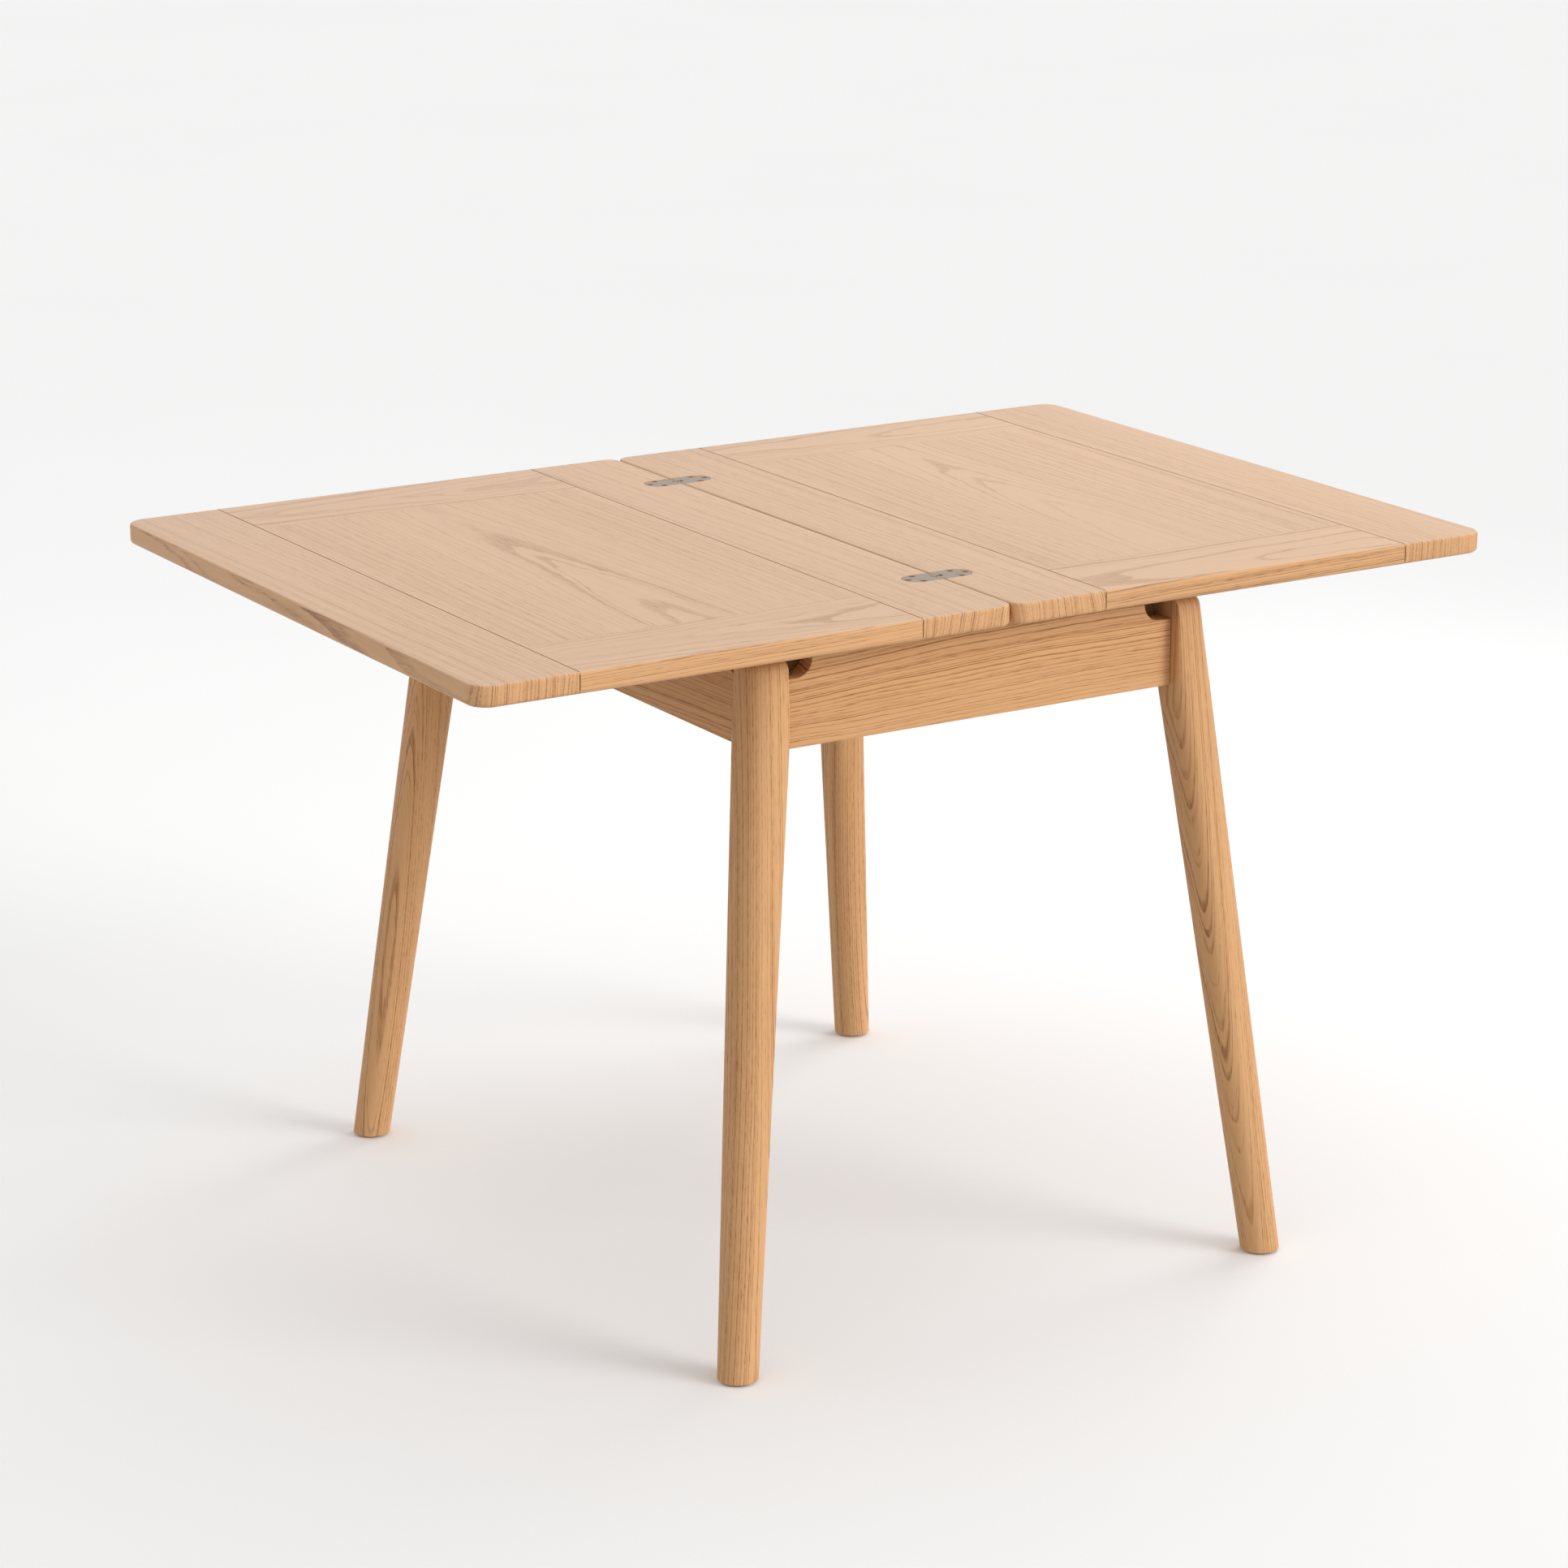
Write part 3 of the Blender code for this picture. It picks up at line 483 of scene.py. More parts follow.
def rounded_rectangle(x0, x1, y0, y1, radii, steps=16):
    """Corner radii are given for (x1, y1), (x0, y1), (x0, y0) and (x1, y0)."""
    a, b, c, d = radii
    return (arc((x1 - a, y1 - a), a, 0, 90, steps) + arc((x0 + b, y1 - b), b, 90, 180, steps)
            + arc((x0 + c, y0 + c), c, 180, 270, steps) + arc((x1 - d, y0 + d), d, 270, 360, steps))


def prism(outline, low, high, axis="Z"):
    """The outline is (x, y) along Z, (y, z) along X and (x, z) along Y."""
    spot = {"Z": lambda p, h: (p[0], p[1], h), "X": lambda p, h: (h, p[0], p[1]),
            "Y": lambda p, h: (p[0], h, p[1])}[axis]
    bm = bmesh.new()
    ends = [[bm.verts.new(spot(p, h)) for p in outline] for h in (low, high)]
    bm.faces.new(ends[0])
    bm.faces.new(ends[1])
    for i in range(len(outline)):
        j = (i + 1) % len(outline)
        bm.faces.new((ends[0][i], ends[0][j], ends[1][j], ends[1][i]))
    bmesh.ops.recalc_face_normals(bm, faces=bm.faces)
    return bm


def box(low, high):
    outline = [(low[0], low[1]), (high[0], low[1]), (high[0], high[1]), (low[0], high[1])]
    return prism(outline, low[2], high[2])


def turned(profile, steps=48):
    """A profile of (radius, height), turned about Z. It runs from the bottom to the top."""
    bm = bmesh.new()
    rings = []
    for radius, height in profile:
        if radius < 1e-7:
            rings.append([bm.verts.new((0, 0, height))])
            continue
        turns = [2 * math.pi * i / steps for i in range(steps)]
        rings.append([bm.verts.new((radius * math.cos(a), radius * math.sin(a), height)) for a in turns])
    for lower, upper in zip(rings, rings[1:]):
        for i in range(steps):
            j = (i + 1) % steps
            corners = [lower[i % len(lower)], lower[j % len(lower)]]
            corners += [upper[j % len(upper)], upper[i % len(upper)]]
            corners = list(dict.fromkeys(corners))
            if len(corners) > 2:
                bm.faces.new(corners)
    for ring, turn in ((rings[0], 1), (rings[-1], -1)):
        if len(ring) > 2:
            bm.faces.new(ring[::-turn])
    bmesh.ops.recalc_face_normals(bm, faces=bm.faces)
    return bm


print("outlines ready")

# %% [markdown]
# ## The two leaves
#
# Each leaf is a frame with a panel: two stiles across the table, two rails between them
# and the panel inside. All five are flush, and the leaf's rim is rounded over as one piece
# after gluing. It is made in the same order here. The whole leaf is one rounded blank, and
# each board keeps its own share of it, so the rounding runs on from board to board.
# A small groove is planed along the seams of the stiles.

# %% One leaf's blank and its boards
TOP_ARRIS = 0.003
BOTTOM_ARRIS = 0.005
CORNER_RADIUS = 0.022
HINGE_CORNER_RADIUS = 0.016
GROOVE = 0.00045
JOINT_SHADE = 0.0008
PAST = 0.03    # how far a cutting shape runs past the wood
SAME = 1e-4    # two edges nearer than this are the same edge
BOARDS = ("outer_stile", "hinge_stile", "near_rail", "far_rail", "panel")


def leaf_extent(leaf):
    boxes = [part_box(f"{leaf}_{board}") for board in BOARDS]
    low = Vector([min(b[0][i] for b in boxes) for i in range(3)])
    high = Vector([max(b[1][i] for b in boxes) for i in range(3)])
    return low, high


def leaf_blank(low, high, side):
    right, left = (CORNER_RADIUS, HINGE_CORNER_RADIUS)[::side]
    outline = rounded_rectangle(low.x, high.x, low.y, high.y, (right, left, left, right))
    bm = prism(outline, low.z, high.z)
    for height, radius in ((high.z, TOP_ARRIS), (low.z, BOTTOM_ARRIS)):
        rim = [e for e in bm.edges if all(abs(v.co.z - height) < 1e-6 for v in e.verts)]
        bmesh.ops.bevel(bm, geom=rim, offset=radius, segments=7, profile=0.5, affect="EDGES")
    return bm


def board_share(node, leaf_low, leaf_high):
    """Two shapes whose common part is the board's share, with its seams grooved."""
    low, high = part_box(node)
    g, e = GROOVE, 0.002
    x0 = low.x - PAST if low.x - leaf_low.x < SAME else low.x
    x1 = high.x + PAST if leaf_high.x - high.x < SAME else high.x
    top = leaf_high.z
    section = [(x0, low.z - PAST), (x1, low.z - PAST), (x1, top - g), (x1 - g - e, top + e),
               (x0 + g + e, top + e), (x0, top - g)]
    plan = [(x0, low.y), (x1, low.y)]
    if low.y - leaf_low.y < SAME:
        plan = [(x0, low.y + g), (x0 + g + e, low.y - e), (x1 - g - e, low.y - e), (x1, low.y + g)]
    if leaf_high.y - high.y < SAME:
        plan += [(x1, high.y - g), (x1 - g - e, high.y + e), (x0 + g + e, high.y + e), (x0, high.y - g)]
    else:
        plan += [(x1, high.y), (x0, high.y)]
    return (prism(section, leaf_low.y - PAST, leaf_high.y + PAST, "Y"),
            prism(plan, low.z - PAST, top + PAST))


def seam_faces(obj, node, leaf_low, leaf_high):
    """Gives the dark seam colour, partly painted shade, to the faces that look into a stile's seam or into
    the gap between the leaves.
    """
    low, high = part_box(node)
    seams = [x for x, rim in ((low.x, leaf_low.x), (high.x, leaf_high.x)) if abs(x - rim) > SAME]
    for face in obj.data.polygons:
        close = any(abs(face.center.x - x) < GROOVE + 0.0002 for x in seams)
        joint = abs(face.center.x) < JOINT_SHADE
        face.material_index = 1 if (close or joint) and abs(face.normal.x) > 0.5 else 0


print("blank ready, groove of", GROOVE * 1000, "mm")

# %% [markdown]
# ## The hinges' seats
#
# A counter-flap hinge lies flush, so its plate sits in a pocket that a router has cut into
# the hinge stile. The pocket follows the plate's own outline with a hair of room round it.

# %% Plate outline and pockets
FIT = 0.0003
PLATE_THICKNESS = 0.0025
KNUCKLE_REACH = 0.0046
ABOVE = 0.01    # how far a cutter stands above the top
LEAVES = (("main_leaf", "main", -1), ("flip_leaf", "flip", 1))
SIDES = ("near", "far")


def plate_outline(wing, side, grow):
    """Half a stadium, from the leaf's edge to its round tip."""
    low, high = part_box(wing)
    radius = (high.y - low.y) / 2
    y = (high.y + low.y) / 2
    reach = max(abs(low.x), abs(high.x))
    edge = min(abs(low.x), abs(high.x)) if grow == 0 else -grow
    tip = arc((reach - radius, 0), radius + grow, -90, 90, 40)
    return [(side * x, y + v) for x, v in [(edge, -radius - grow)] + tip + [(edge, radius + grow)]]


def knuckle_corners(wing, pin, side, grow):
    """The block under the plate that holds the pin."""
    low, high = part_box(wing)
    plo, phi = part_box(pin)
    far = side * (abs((plo.x + phi.x) / 2) + KNUCKLE_REACH + grow)
    near = side * (min(abs(low.x), abs(high.x)) if grow == 0 else -grow)
    x0, x1 = sorted((near, far))
    return (x0, plo.y - 0.0003 - grow, low.z - grow), (x1, phi.y + 0.0003 + grow, high.z - 0.001)


def seats(tag, side):
    """Cutters for the pockets of a leaf's two plates."""
    shapes = []
    for end in SIDES:
        wing = f"hinge_wing_{tag}_{end}"
        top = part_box(wing)[1].z
        shapes.append(prism(plate_outline(wing, side, FIT), top - PLATE_THICKNESS - FIT, top + ABOVE))
        shapes.append(box(*knuckle_corners(wing, f"hinge_pin_{tag}_{end}", side, FIT)))
    return shapes


print("seats for", len(LEAVES) * len(SIDES), "plates")

# %% [markdown]
# ## Sawing the boards
#
# The stiles are quarter-sawn: their heart lay far to one side, so their ends show nearly
# upright rings and their tops show fine straight lines. The rails and the panels are
# flat-sawn, with the heart below them, which gives arches on top and level lines along
# the edge of the table.

# %% The ten boards of the top
def top_heart(node, board):
    chance = random.Random(node + "heart")
    centre = middle(node)
    if board.endswith("stile"):
        away = chance.choice((-1, 1)) * chance.uniform(0.16, 0.24)
        return centre + Vector((away, 0, -chance.uniform(0.01, 0.05)))
    if board == "panel":
        return centre + Vector((chance.uniform(-0.05, 0.05), 0, -chance.uniform(0.10, 0.14)))
    return centre + Vector((0, chance.uniform(-0.02, 0.03), -chance.uniform(0.13, 0.18)))


for leaf, tag, side in LEAVES:
    leaf_low, leaf_high = leaf_extent(leaf)
    for board in BOARDS:
        node = f"{leaf}_{board}"
        piece = bench_object(node + "_blank", leaf_blank(leaf_low, leaf_high, side))
        cut(piece, "INTERSECT", *board_share(node, leaf_low, leaf_high))
        if board == "hinge_stile":
            cut(piece, "DIFFERENCE", *seats(tag, side))
        polish(piece, 38)
        trunk = "X" if board.endswith("rail") else "Y"
        lay_in_log(piece, node, trunk, top_heart(node, board), lean=0.022, wear_and_highlight_faces=tilted_face)
        paint(piece, TOP_OAK, SEAM_AND_PAINTED_SHADE)
        seam_faces(piece, node, leaf_low, leaf_high)
        install(piece, node)
    print(leaf, "sawn into", len(BOARDS), "boards")

# %% [markdown]
# ## The legs
#
# A leg is a rounded square at the top that turns into a round foot, and it leans outwards
# both ways. A turned shape can't be square at one end, and a box can't be round, so it is
# lofted: one outline is drawn at each height and the outlines are joined. Above a bend near
# the aprons the two inner faces are planed upright, which in the mesh means that no point
# may pass the plane. Many thin levels let the shading follow that change smoothly. The top
# stops short of the leaf, with its edge rounded over, so that the leaf can slide past it.

# %% Lofting and planing a leg
FOOT_DIAMETER = 0.0414
TOP_SQUARE = 0.0514
OUTER_RADIUS = 0.0249
SIDE_RADIUS = 0.0156
INNER_RADIUS = 0.0151
BEND_DROP = 0.0207
TOP_ROUNDING = 0.010
TOP_TURN = 75
FOOT_ROUNDING = 0.0015
LEG_LEVELS = 60
CORNERS = (("near_left", -1, -1), ("near_right", 1, -1), ("far_left", -1, 1), ("far_right", 1, 1))


def mixed(a, b, t):
    return a + (b - a) * t


def leg_levels(foot, top):
    """Heights with how far the outline is drawn in, from the foot to the top."""
    levels = []
    for i in range(5):
        a = math.radians(90 * i / 4)
        levels.append((foot + FOOT_ROUNDING * (1 - math.cos(a)), FOOT_ROUNDING * (1 - math.sin(a))))
    start = top - TOP_ROUNDING
    first = levels[-1][0]
    levels += [(mixed(first, start, i / LEG_LEVELS), 0.0) for i in range(1, LEG_LEVELS + 1)]
    for i in range(1, 11):
        a = math.radians(TOP_TURN * i / 10)
        rise = TOP_ROUNDING * math.sin(a) / math.sin(math.radians(TOP_TURN))
        levels.append((start + rise, TOP_ROUNDING * (1 - math.cos(a))))
    return levels


def leg_bmesh(corner, side_x, side_y):
    foot = middle(f"foot_glide_{corner}")
    low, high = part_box(f"leg_{corner}")
    apron_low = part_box("apron_near")[0].z
    inner_x = min(abs(low.x), abs(high.x))
    inner_y = min(abs(low.y), abs(high.y))
    bend = (apron_low - BEND_DROP) / high.z
    half_at_bend = mixed(FOOT_DIAMETER, TOP_SQUARE, bend) / 2
    top_x = abs(foot.x) + (inner_x + half_at_bend - abs(foot.x)) / bend
    top_y = abs(foot.y) + (inner_y + half_at_bend - abs(foot.y)) / bend
    bm = bmesh.new()
    rings = []
    for height, inset in leg_levels(low.z, high.z):
        t = height / high.z
        x, y = mixed(abs(foot.x), top_x, t), mixed(abs(foot.y), top_y, t)
        half = mixed(FOOT_DIAMETER, TOP_SQUARE, t) / 2 - inset
        radii = [min(mixed(FOOT_DIAMETER / 2, r, t) - inset, 0.999 * half)
                 for r in (OUTER_RADIUS, SIDE_RADIUS, INNER_RADIUS, SIDE_RADIUS)]
        outline = rounded_rectangle(x - half, x + half, y - half, y + half, radii, 12)
        outline = [(max(u, inner_x), max(v, inner_y)) for u, v in outline]
        rings.append([bm.verts.new((side_x * u, side_y * v, height)) for u, v in outline])
    for lower, upper in zip(rings, rings[1:]):
        for i in range(len(lower)):
            j = (i + 1) % len(lower)
            bm.faces.new((lower[i], lower[j], upper[j], upper[i]))
    bm.faces.new(rings[0])
    bm.faces.new(rings[-1])
    bmesh.ops.remove_doubles(bm, verts=bm.verts, dist=0.00002)
    return bm


for corner, side_x, side_y in CORNERS:
    node = f"leg_{corner}"
    leg = bench_object(node + "_blank", leg_bmesh(corner, side_x, side_y))
    polish(leg, 50)
    chance = random.Random(node + "heart")
    heart = middle(node) + Vector((side_x * chance.uniform(0.10, 0.14),
                                   -side_y * chance.uniform(0.05, 0.09), 0))
    lay_in_log(leg, node, "Z", heart, lean=0.03)
    paint(leg, LEG_OAK)
    install(leg, node)
print("four legs")

# %% [markdown]
# ## The aprons
#
# An apron is a straight board whose top corners are notched with a big router bit, which
# leaves a round inner corner beside each leg. The outline holds that arc, and every edge is
# then broken by a small rounding, which is what catches the light along the notch.

# %% Notched boards
NOTCH_WIDTH = 0.0338
NOTCH_DEPTH = 0.035
NOTCH_RADIUS = 0.019


def apron_outline(half, bottom, top):
    floor = top - NOTCH_DEPTH
    wall = half - NOTCH_WIDTH
    notch = arc((wall + NOTCH_RADIUS, floor + NOTCH_RADIUS), NOTCH_RADIUS, 180, 270, 14)
    mirrored = [(-x, z) for x, z in notch]
    return ([(-half, bottom), (half, bottom), (half, floor)] + notch[::-1]
            + [(wall, top), (-wall, top)] + mirrored + [(-half, floor)])


for name, axis in (("near", "Y"), ("far", "Y"), ("left", "X"), ("right", "X")):
    node = f"apron_{name}"
    low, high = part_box(node)
    along = 0 if axis == "Y" else 1
    outline = apron_outline(high[along], low.z, high.z)
    across = 1 - along
    apron = bench_object(node + "_blank", prism(outline, low[across], high[across], axis))
    soften(apron, 0.0009, 3)
    polish(apron, 35)
    chance = random.Random(node + "heart")
    away = Vector((0, 0, chance.choice((-1, 1)) * chance.uniform(0.14, 0.19)))
    away[across] = chance.uniform(0.01, 0.03)
    lay_in_log(apron, node, "X" if axis == "Y" else "Y", middle(node) + away, lean=0.03,
               wear_and_highlight_faces=tilted_face)
    paint(apron, BASE_OAK)
    install(apron, node)
print("four aprons")

# %% [markdown]
# ## What holds the corners together
#
# Behind each corner a block ties the two aprons and takes the bolt that pulls the leg in.
# The block is a wedge seen from above, with all its edges just broken. Each bolt has a flat
# head with a hexagon socket, and a rolled thread on its shank, drawn as a row of rings.

# %% Corner blocks and leg bolts
BLOCK_NEAR = 0.012
BOLT_SHANK = 0.003
BOLT_HEAD_HEIGHT = 0.0025
BOLT_PITCH = 0.001
BOLT_SHORT = 0.0022
SOCKET_RADIUS = 0.0023
SOCKET_DEPTH = 0.0018


def block_outline(low, high, side_x, side_y):
    outer_x, outer_y = (high.x if side_x > 0 else low.x), (high.y if side_y > 0 else low.y)
    wide = abs(high.x - low.x)
    points = ((0, BLOCK_NEAR), (0, wide), (wide, 0), (BLOCK_NEAR, 0))
    return [(outer_x - side_x * u, outer_y - side_y * v) for u, v in points]


def bolt_bmesh(head, length):
    """A furniture bolt along Z: its tip at zero and its head at the top."""
    shank = BOLT_SHANK
    profile = [(0, 0), (shank * 0.72, 0)]
    for i in range(int((length - 0.012) / BOLT_PITCH)):
        profile += [(shank * 0.86, 0.0006 + i * BOLT_PITCH), (shank, 0.0011 + i * BOLT_PITCH)]
    rim = BOLT_HEAD_HEIGHT / 3
    brow = length + BOLT_HEAD_HEIGHT - rim
    profile += [(shank * 0.98, length - 0.010), (shank * 0.98, length), (head - 0.0002, length),
                (head, length + 0.0002), (head, brow)]
    profile += [(head - rim + rim * math.cos(a), brow + rim * math.sin(a))
                for a in (0.4, 0.8, 1.2, math.pi / 2)]
    profile.append((0, length + BOLT_HEAD_HEIGHT))
    return turned(profile, 40)


for corner, side_x, side_y in CORNERS:
    node = f"corner_block_{corner}"
    low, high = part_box(node)
    outline = block_outline(low, high, side_x, side_y)
    block = bench_object(node + "_blank", prism(outline, low.z, high.z))
    soften(block, 0.0008, 3)
    polish(block, 35)
    lay_in_log(block, node, "X", middle(node) + Vector((0, 0.05 * side_y, -0.04)), lean=0.05,
               wear_and_highlight_faces=tilted_face)
    # The corner blocks take the dark inside oak, which is painted shade.
    paint(block, INNER_OAK_PAINTED_SHADE)
    install(block, node)

    node = f"leg_bolt_{corner}"
    low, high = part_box(node)
    inward = Vector((-side_x, -side_y, 0)).normalized()
    head = (high.z - low.z) / 2
    across = (high.x - low.x) - head * math.sqrt(0.5)
    length = across * math.sqrt(2) - BOLT_SHORT - BOLT_HEAD_HEIGHT
    bolt = bench_object(node + "_blank", bolt_bmesh(head, length))
    socket = arc((0, 0), SOCKET_RADIUS, 0, 300, 5)
    cut(bolt, "DIFFERENCE", prism(socket, length + BOLT_HEAD_HEIGHT - SOCKET_DEPTH, length + 0.01))
    turn = inward.to_track_quat("Z", "Y").to_matrix().to_4x4()
    centre = middle(node)
    bolt.data.transform(turn)
    bpy.context.view_layer.update()
    spots = [v.co for v in bolt.data.vertices]
    own = Vector([(min(c[i] for c in spots) + max(c[i] for c in spots)) / 2 for i in range(3)])
    bolt.data.transform(Matrix.Translation(centre - own))
    polish(bolt, 30)
    paint(bolt, ZINC)
    install(bolt, node)
print("four corner blocks and four bolts")

# %% [markdown]
# ## Felt glides
#
# A felt disc under each foot lets the table move without scratching the floor. Its lower
# edge is rounded because felt compresses there first.

# %% Glides
for corner, *_ in CORNERS:
    node = f"foot_glide_{corner}"
    low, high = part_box(node)
    radius = (high.x - low.x) / 2
    rim = 0.0006
    profile = [(0, low.z), (radius - rim, low.z)]
    profile += [(radius - rim + rim * math.sin(a), low.z + rim - rim * math.cos(a))
                for a in (0.4, 0.8, 1.2)]
    profile += [(radius, low.z + rim), (radius, high.z - 0.0002), (radius - 0.0002, high.z),
                (0, high.z)]
    bm = turned(profile, 48)
    bmesh.ops.translate(bm, verts=bm.verts, vec=(middle(node).x, middle(node).y, 0))
    glide = bench_object(node + "_blank", bm)
    polish(glide, 50)
    paint(glide, FELT)
    install(glide, node)
print("four glides")

# %% [markdown]
# ## The slide
#
# Under the main leaf two runners with a tongue move in two grooved guides, and a cross
# rail ties the base together under them. Their sections never change along their length,
# so they are prisms with softened edges. The sections repeat the CAD model's sizes.

# %% Guides, runners and the cross rail
GROOVE_HEIGHT = 0.010
GROOVE_DEPTH = 0.010
GROOVE_DROP = 0.016
SLIDE_CLEARANCE = 0.0006


def guide_section(low, high, side):
    inner, outer = sorted((abs(low.y), abs(high.y)))
    centre = high.z - GROOVE_DROP
    under, over = centre - GROOVE_HEIGHT / 2, centre + GROOVE_HEIGHT / 2
    floor = inner + GROOVE_DEPTH
    points = [(outer, low.z), (outer, high.z), (inner, high.z), (inner, over),
              (floor, over), (floor, under), (inner, under), (inner, low.z)]
    return [(side * y, z) for y, z in points]


def runner_section(low, high, side, groove_centre):
    back, tip = sorted((abs(low.y), abs(high.y)))
    face = tip - GROOVE_DEPTH
    half = GROOVE_HEIGHT / 2 - SLIDE_CLEARANCE
    under, over = groove_centre - half, groove_centre + half
    points = [(face, low.z), (face, under), (tip, under), (tip, over), (face, over),
              (face, high.z), (back, high.z), (back, low.z)]
    return [(side * y, z) for y, z in points]


def install_bar(node, bm, trunk, away):
    bar = bench_object(node + "_blank", bm)
    soften(bar, 0.0006, 2)
    polish(bar, 35)
    lay_in_log(bar, node, trunk, middle(node) + Vector(away), lean=0.02, wear_and_highlight_faces=tilted_face)
    # Guides, runners and the cross rail take the dark inside oak, which is painted shade.
    paint(bar, INNER_OAK_PAINTED_SHADE)
    install(bar, node)


for name, side in (("near", -1), ("far", 1)):
    low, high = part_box(f"slide_guide_{name}")
    groove_centre = high.z - GROOVE_DROP
    section = guide_section(low, high, side)
    install_bar(f"slide_guide_{name}", prism(section, low.x, high.x, "X"), "X", (0, 0.03 * side, 0.09))
    low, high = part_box(f"runner_{name}")
    section = runner_section(low, high, side, groove_centre)
    install_bar(f"runner_{name}", prism(section, low.x, high.x, "X"), "X", (0, 0.08 * side, 0.02))
install_bar("cross_rail", box(*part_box("cross_rail")), "Y", (0.02, 0, 0.08))
print("two guides, two runners and a cross rail")

# %% [markdown]
# ## The counter-flap hinges
#
# Each hinge has two plates with a short link between them, and a pin through each end of the
# link. The plates are stamped and then ground, so their rims are only just broken, and each
# follows the rounded edge of its leaf. A slot lets the link swing up. The plate is drilled
# and countersunk for its screws before its edges are broken, as a toolmaker would.

# %% Plates with their slots
def joint_edge(wing, side):
    """The rounded edge of the leaf, which the plate shares, as (x, z)."""
    low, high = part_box(wing)
    edge = min(abs(low.x), abs(high.x))
    top = high.z
    centre = (edge + TOP_ARRIS, top - TOP_ARRIS)
    corner = arc(centre, TOP_ARRIS, 180, 90, 12)
    past = 0.08
    points = [(edge, top - PAST)] + corner + [(past, top), (past, top - PAST)]
    return [(side * x, z) for x, z in points]


def screw_hole(screw):
    """A countersunk hole with a hair of room round the screw."""
    low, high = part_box(screw)
    head = (high.x - low.x) / 2 + 0.00015
    bore = 0.0017
    profile = [(0, low.z), (bore, low.z), (bore, high.z - 0.0022), (head, high.z - 0.0003),
               (head, high.z + ABOVE), (0, high.z + ABOVE)]
    bm = turned(profile, 40)
    bmesh.ops.translate(bm, verts=bm.verts, vec=(middle(screw).x, middle(screw).y, 0))
    return bm


for leaf, tag, side in LEAVES:
    for end in SIDES:
        node = f"hinge_wing_{tag}_{end}"
        low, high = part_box(node)
        link_low, link_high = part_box(f"hinge_link_{end}")
        outline = plate_outline(node, side, 0)
        plate = bench_object(node + "_blank", prism(outline, high.z - PLATE_THICKNESS, high.z))
        cut(plate, "UNION", box(*knuckle_corners(node, f"hinge_pin_{tag}_{end}", side, 0)))
        cut(plate, "INTERSECT", prism(joint_edge(node, side), low.y - ABOVE, high.y + ABOVE, "Y"))
        slot_low = (link_low.x - FIT, link_low.y - FIT, link_low.z - FIT)
        slot_high = (link_high.x + FIT, link_high.y + FIT, high.z + ABOVE)
        cut(plate, "DIFFERENCE", box(slot_low, slot_high))
        cut(plate, "DIFFERENCE", *[screw_hole(f"hinge_screw_{tag}_{end}_{n}") for n in (1, 2, 3)])
        soften(plate, 0.00018, 2)
        polish(plate, 30)
        paint(plate, NICKEL)
        install(plate, node)
print("four plates")

# %% [markdown]
# ## Links and pins
#
# A link is two round eyes with a waist, and it lies in the slots flush with the plates. The
# pins are plain rod with broken ends, and they are hidden under the plates. A finer link
# than the CAD one shows well when the leaf stands on edge and the link comes up.

# %% Links and pins
def link_outline(low, high):
    """Two round eyes and a waist, as (x, z)."""
    radius = (high.z - low.z) / 2
    waist = 0.0013
    first, second = low.x + radius, high.x - radius
    z = (low.z + high.z) / 2
    dip = math.degrees(math.asin(waist / radius))
    return (arc((first, z), radius, dip, 360 - dip, 40)
            + arc((second, z), radius, -180 + dip, 180 - dip, 40))


for end in SIDES:
    node = f"hinge_link_{end}"
    low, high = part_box(node)
    link = bench_object(node + "_blank", prism(link_outline(low, high), low.y, high.y, "Y"))
    soften(link, 0.00025, 3)
    polish(link, 35)
    paint(link, NICKEL)
    install(link, node)
    for tag in ("main", "flip"):
        node = f"hinge_pin_{tag}_{end}"
        low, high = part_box(node)
        radius, half, rim = (high.x - low.x) / 2, (high.y - low.y) / 2, 0.0003
        profile = [(0, -half), (radius - rim, -half), (radius, rim - half), (radius, half - rim),
                   (radius - rim, half), (0, half)]
        bm = turned(profile, 32)
        matrix = Matrix.Translation(middle(node)) @ Matrix.Rotation(math.pi / 2, 4, "X")
        bmesh.ops.transform(bm, matrix=matrix, verts=bm.verts)
        pin = bench_object(node + "_blank", bm)
        polish(pin, 30)
        paint(pin, BRONZE)
        install(pin, node)
print("two links and four pins")

# %% [markdown]
# ## Countersunk screws
#
# Three small screws hold each plate. Their heads are dressed almost level with the plate,
# and each has a crossed recess that tapers as a driver's tip does. Every head is turned to
# its own angle, because nobody lines screws up.

# %% Screws
def screw_bmesh(head, top, tip):
    shank, rim, pitch = 0.0015, 0.0003, 0.0010
    seat = top - rim - (head - shank)
    profile = [(0, tip), (0.0004, tip + 0.0004)]
    z = tip + 0.0016
    while z < seat - 0.0016:
        profile += [(shank * 0.78, z), (shank, z + pitch / 2)]
        z += pitch
    profile += [(shank * 0.9, seat - 0.0004), (shank, seat), (head, top - rim)]
    profile += [(head - 0.00006, top - 0.00006), (head - 0.0002, top), (0, top)]
    return turned(profile, 40)


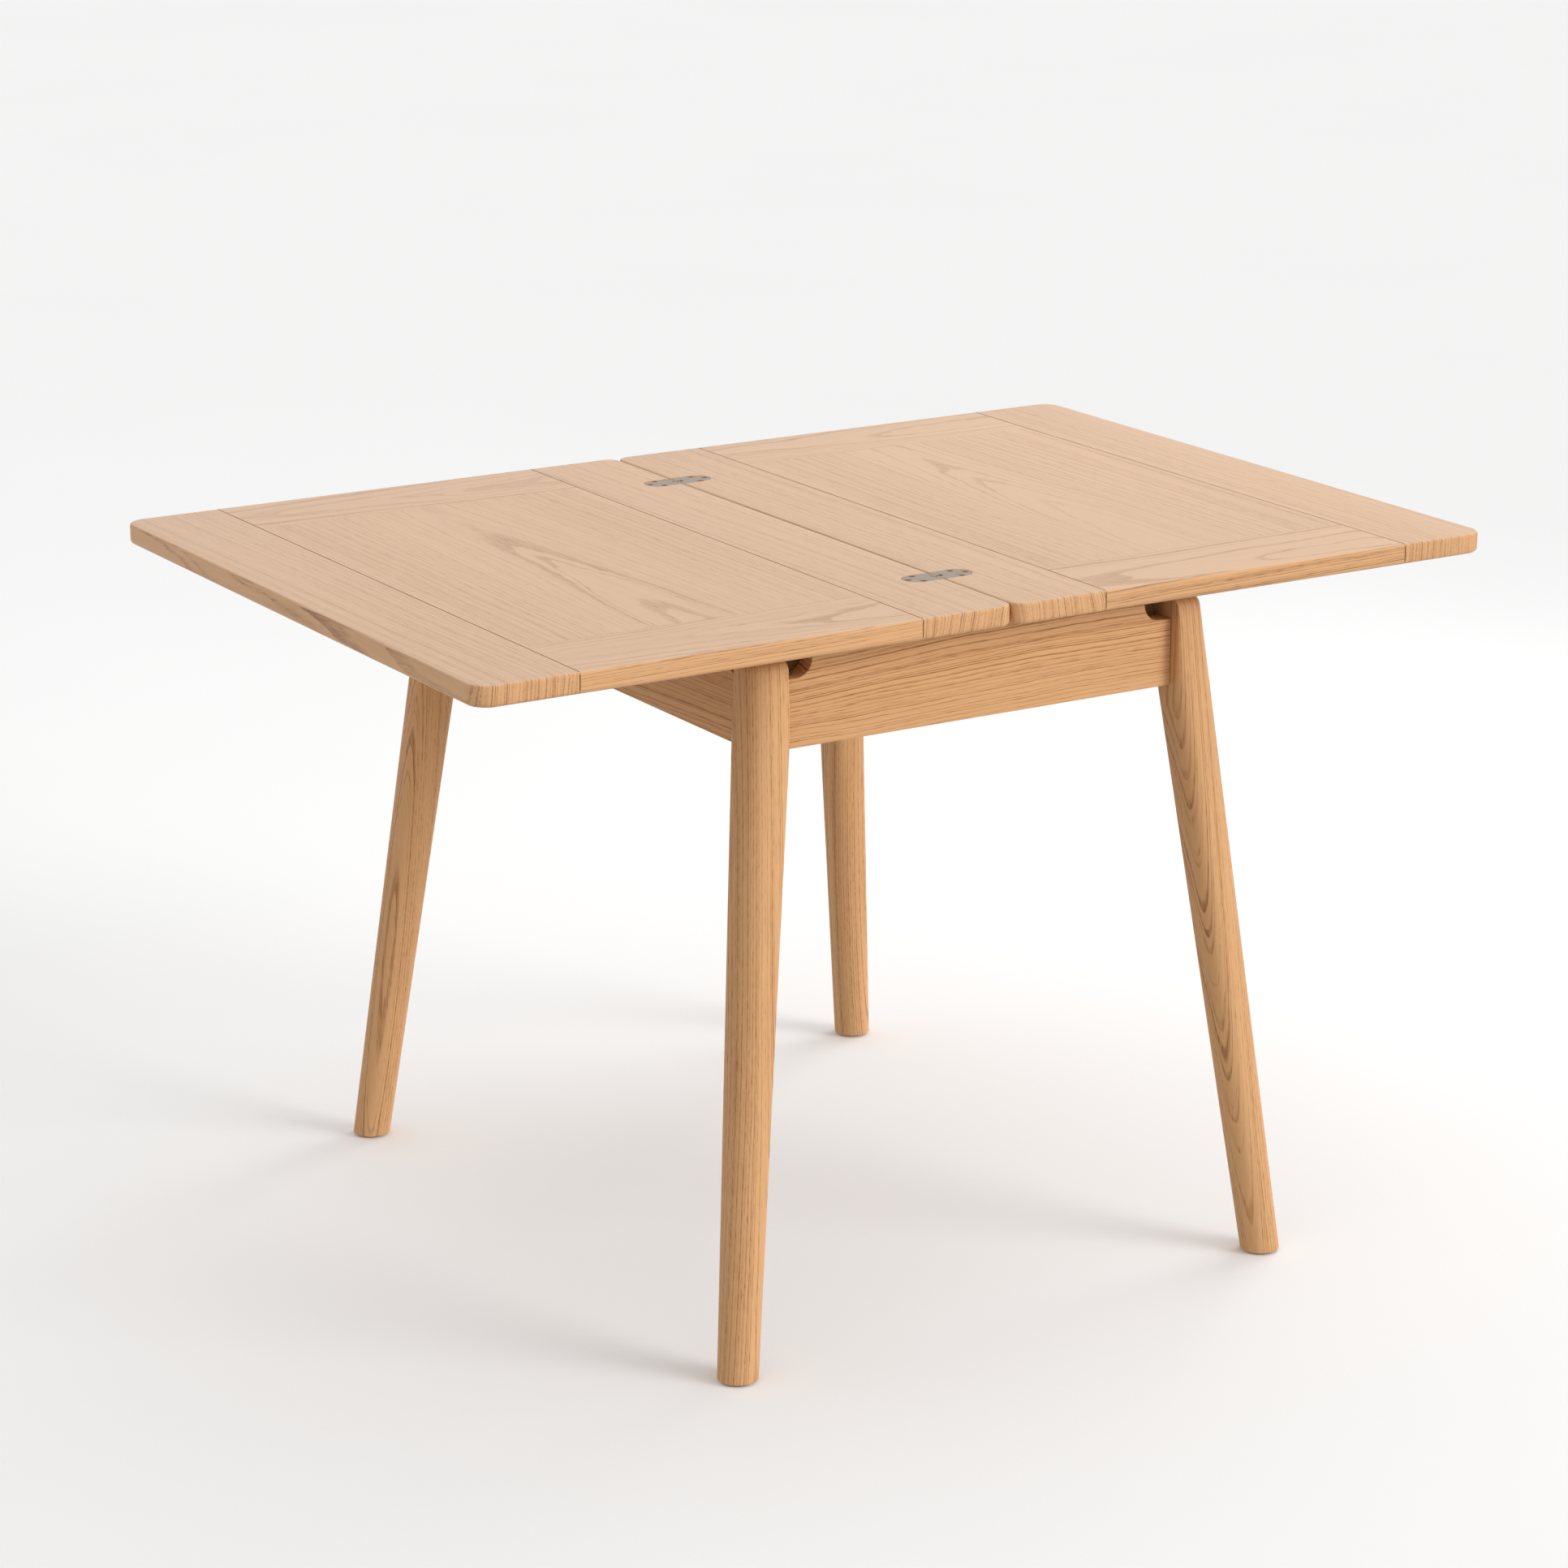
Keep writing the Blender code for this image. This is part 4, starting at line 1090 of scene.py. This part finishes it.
def cross_recess(top, angle):
    """Two tapered wedges at right angles."""
    wide, deep, thick = 0.0019, 0.0016, 0.00030
    levels = ((top - deep, wide * 0.25, thick * 0.6), (top + 0.0004, wide * 1.1, thick * 1.1))
    around = ((-1, -1), (1, -1), (1, 1), (-1, 1))
    shapes = []
    for quarter in (0, math.pi / 2):
        bm = bmesh.new()
        corners = [[bm.verts.new((x * w, y * t, z)) for x, y in around] for z, w, t in levels]
        for ring in corners:
            bm.faces.new(ring)
        for i in range(4):
            j = (i + 1) % 4
            bm.faces.new((corners[0][i], corners[0][j], corners[1][j], corners[1][i]))
        turn = Matrix.Rotation(angle + quarter, 3, "Z")
        bmesh.ops.rotate(bm, cent=(0, 0, 0), matrix=turn, verts=bm.verts)
        bmesh.ops.recalc_face_normals(bm, faces=bm.faces)
        shapes.append(bm)
    return shapes


count = 0
for leaf, tag, side in LEAVES:
    for end in SIDES:
        for number in (1, 2, 3):
            node = f"hinge_screw_{tag}_{end}_{number}"
            low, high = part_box(node)
            head = (high.x - low.x) / 2
            screw = bench_object(node + "_blank", screw_bmesh(head, 0.0, low.z - high.z))
            cut(screw, "DIFFERENCE", *cross_recess(0.0, random.Random(node).uniform(0, math.pi / 2)))
            screw.data.transform(Matrix.Translation((middle(node).x, middle(node).y, high.z)))
            polish(screw, 28)
            paint(screw, BRONZE)
            install(screw, node)
            count += 1
print(count, "screws")

# %% [markdown]
# ## The floor
#
# A table stands on something, so the floor is one pale matt sheet, far wider than the view,
# and its edge never shows. Bounced light from so white a sheet would lift every face that
# looks down or aside, so the floor is not seen by soft light at all. The lower half of the
# sky stands in for it in the next step, where its strength can be set.

# %% Floor
def floor_material():
    material, tree, shader = new_material("floor_pale", Roughness=0.85)
    place = Wire.node(tree, "ShaderNodeTexCoord", output=3)
    cloud = place.noise((1.1, 1.1, 1.1), detail=3.0)
    grain = place.noise((240.0, 240.0, 240.0), detail=2.0)
    mixed_marks = (cloud * 0.6 + grain * 0.4).ramp(0.2, 0.8)
    shade = mixed_marks.tint((0.950, 0.950, 0.947), (0.970, 0.970, 0.967))
    feed(shader, Base_Color=shade, Normal=relief(grain, 0.0003, 0.15))
    return material


floor_bm = bmesh.new()
bmesh.ops.create_grid(floor_bm, x_segments=24, y_segments=24, size=60.0)
bmesh.ops.translate(floor_bm, verts=floor_bm.verts, vec=(0, 0, -0.0002))
floor = bench_object("floor", floor_bm)
paint(floor, floor_material())
floor.visible_diffuse = False
print("floor laid")

# %% [markdown]
# ## The light
#
# The sky is a soft white, a little warmer and dimmer below the horizon than above it. One
# broad low light from the front right makes the front faces brighter than those on the
# left, and it is low enough to reach the aprons under the overhang. A lacquered top would
# mirror such a strong lamp as a white patch, so the lamp doesn't show in reflections. A
# second, weaker one from the same place gives the metal and the edges their glints. A
# panel on the right lifts the top.

# %% Light
world = bpy.data.worlds.new("soft_studio")
bpy.context.scene.world = world
world.use_nodes = True
sky = world.node_tree.nodes["Background"]
sky.inputs["Color"].default_value = (1.0, 1.0, 1.0, 1.0)
direction = Wire.node(world.node_tree, "ShaderNodeTexCoord", output=0)
height = split(direction)[2].ramp(-0.12, 0.12)
feed(sky, Color=height.tint((1.0, 0.93, 0.85), (1.0, 1.0, 1.0)), Strength=0.60 + height * 0.155)


def soft_sun(name, towards, strength, spread, glints):
    """A light from one direction: towards points from the table to the light."""
    lamp = bpy.data.lights.new(name, "SUN")
    lamp.energy = strength
    lamp.angle = math.radians(spread)
    obj = bpy.data.objects.new(name, lamp)
    bpy.context.scene.collection.objects.link(obj)
    obj.rotation_euler = Vector(towards).to_track_quat("Z", "Y").to_euler()
    obj.visible_glossy = glints


FRONT_RIGHT = (0.56, -0.78, 0.33)
soft_sun("key_light", FRONT_RIGHT, 1.51, 34, glints=False)
soft_sun("glint_light", FRONT_RIGHT, 0.38, 20, glints=True)
panel = bpy.data.lights.new("side_light", "AREA")
panel.shape = "SQUARE"
panel.size = 1.4
panel.energy = 15.0
side_light = bpy.data.objects.new("side_light", panel)
bpy.context.scene.collection.objects.link(side_light)
side_light.location = (1.9, 0.5, 1.95)
side_light.visible_glossy = False
from_top = side_light.location - Vector((0.3, 0, 0.7))
side_light.rotation_euler = from_top.to_track_quat("Z", "Y").to_euler()
bpy.context.scene.view_settings.view_transform = "Standard"
print("one sky, two suns from the front right and one side light")

# %% [markdown]
# ## The camera
#
# The camera stands at the left front, a little above the table, and looks through a long
# lens, so that the table's edges stay nearly parallel. It circles a point under the top,
# which makes its place two angles and a distance.

# %% Camera
AZIMUTH = math.radians(-31.6906)
ELEVATION = math.radians(16.3874)
DISTANCE = 4.94595
FOCAL_LENGTH = 102.12
FILM_WIDTH = 36.0
TARGET = Vector((0.06635, 0.14230, 0.42))
back = Vector((math.sin(AZIMUTH) * math.cos(ELEVATION), -math.cos(AZIMUTH) * math.cos(ELEVATION),
               math.sin(ELEVATION)))
lens = bpy.data.cameras.new("camera")
lens.lens = FOCAL_LENGTH
lens.sensor_width = FILM_WIDTH
lens.clip_end = 200.0
camera = bpy.data.objects.new("camera", lens)
bpy.context.scene.collection.objects.link(camera)
camera.location = TARGET + back * DISTANCE
camera.rotation_euler = back.to_track_quat("Z", "Y").to_euler()
bpy.context.scene.camera = camera
print("camera at", [round(c, 3) for c in camera.location])
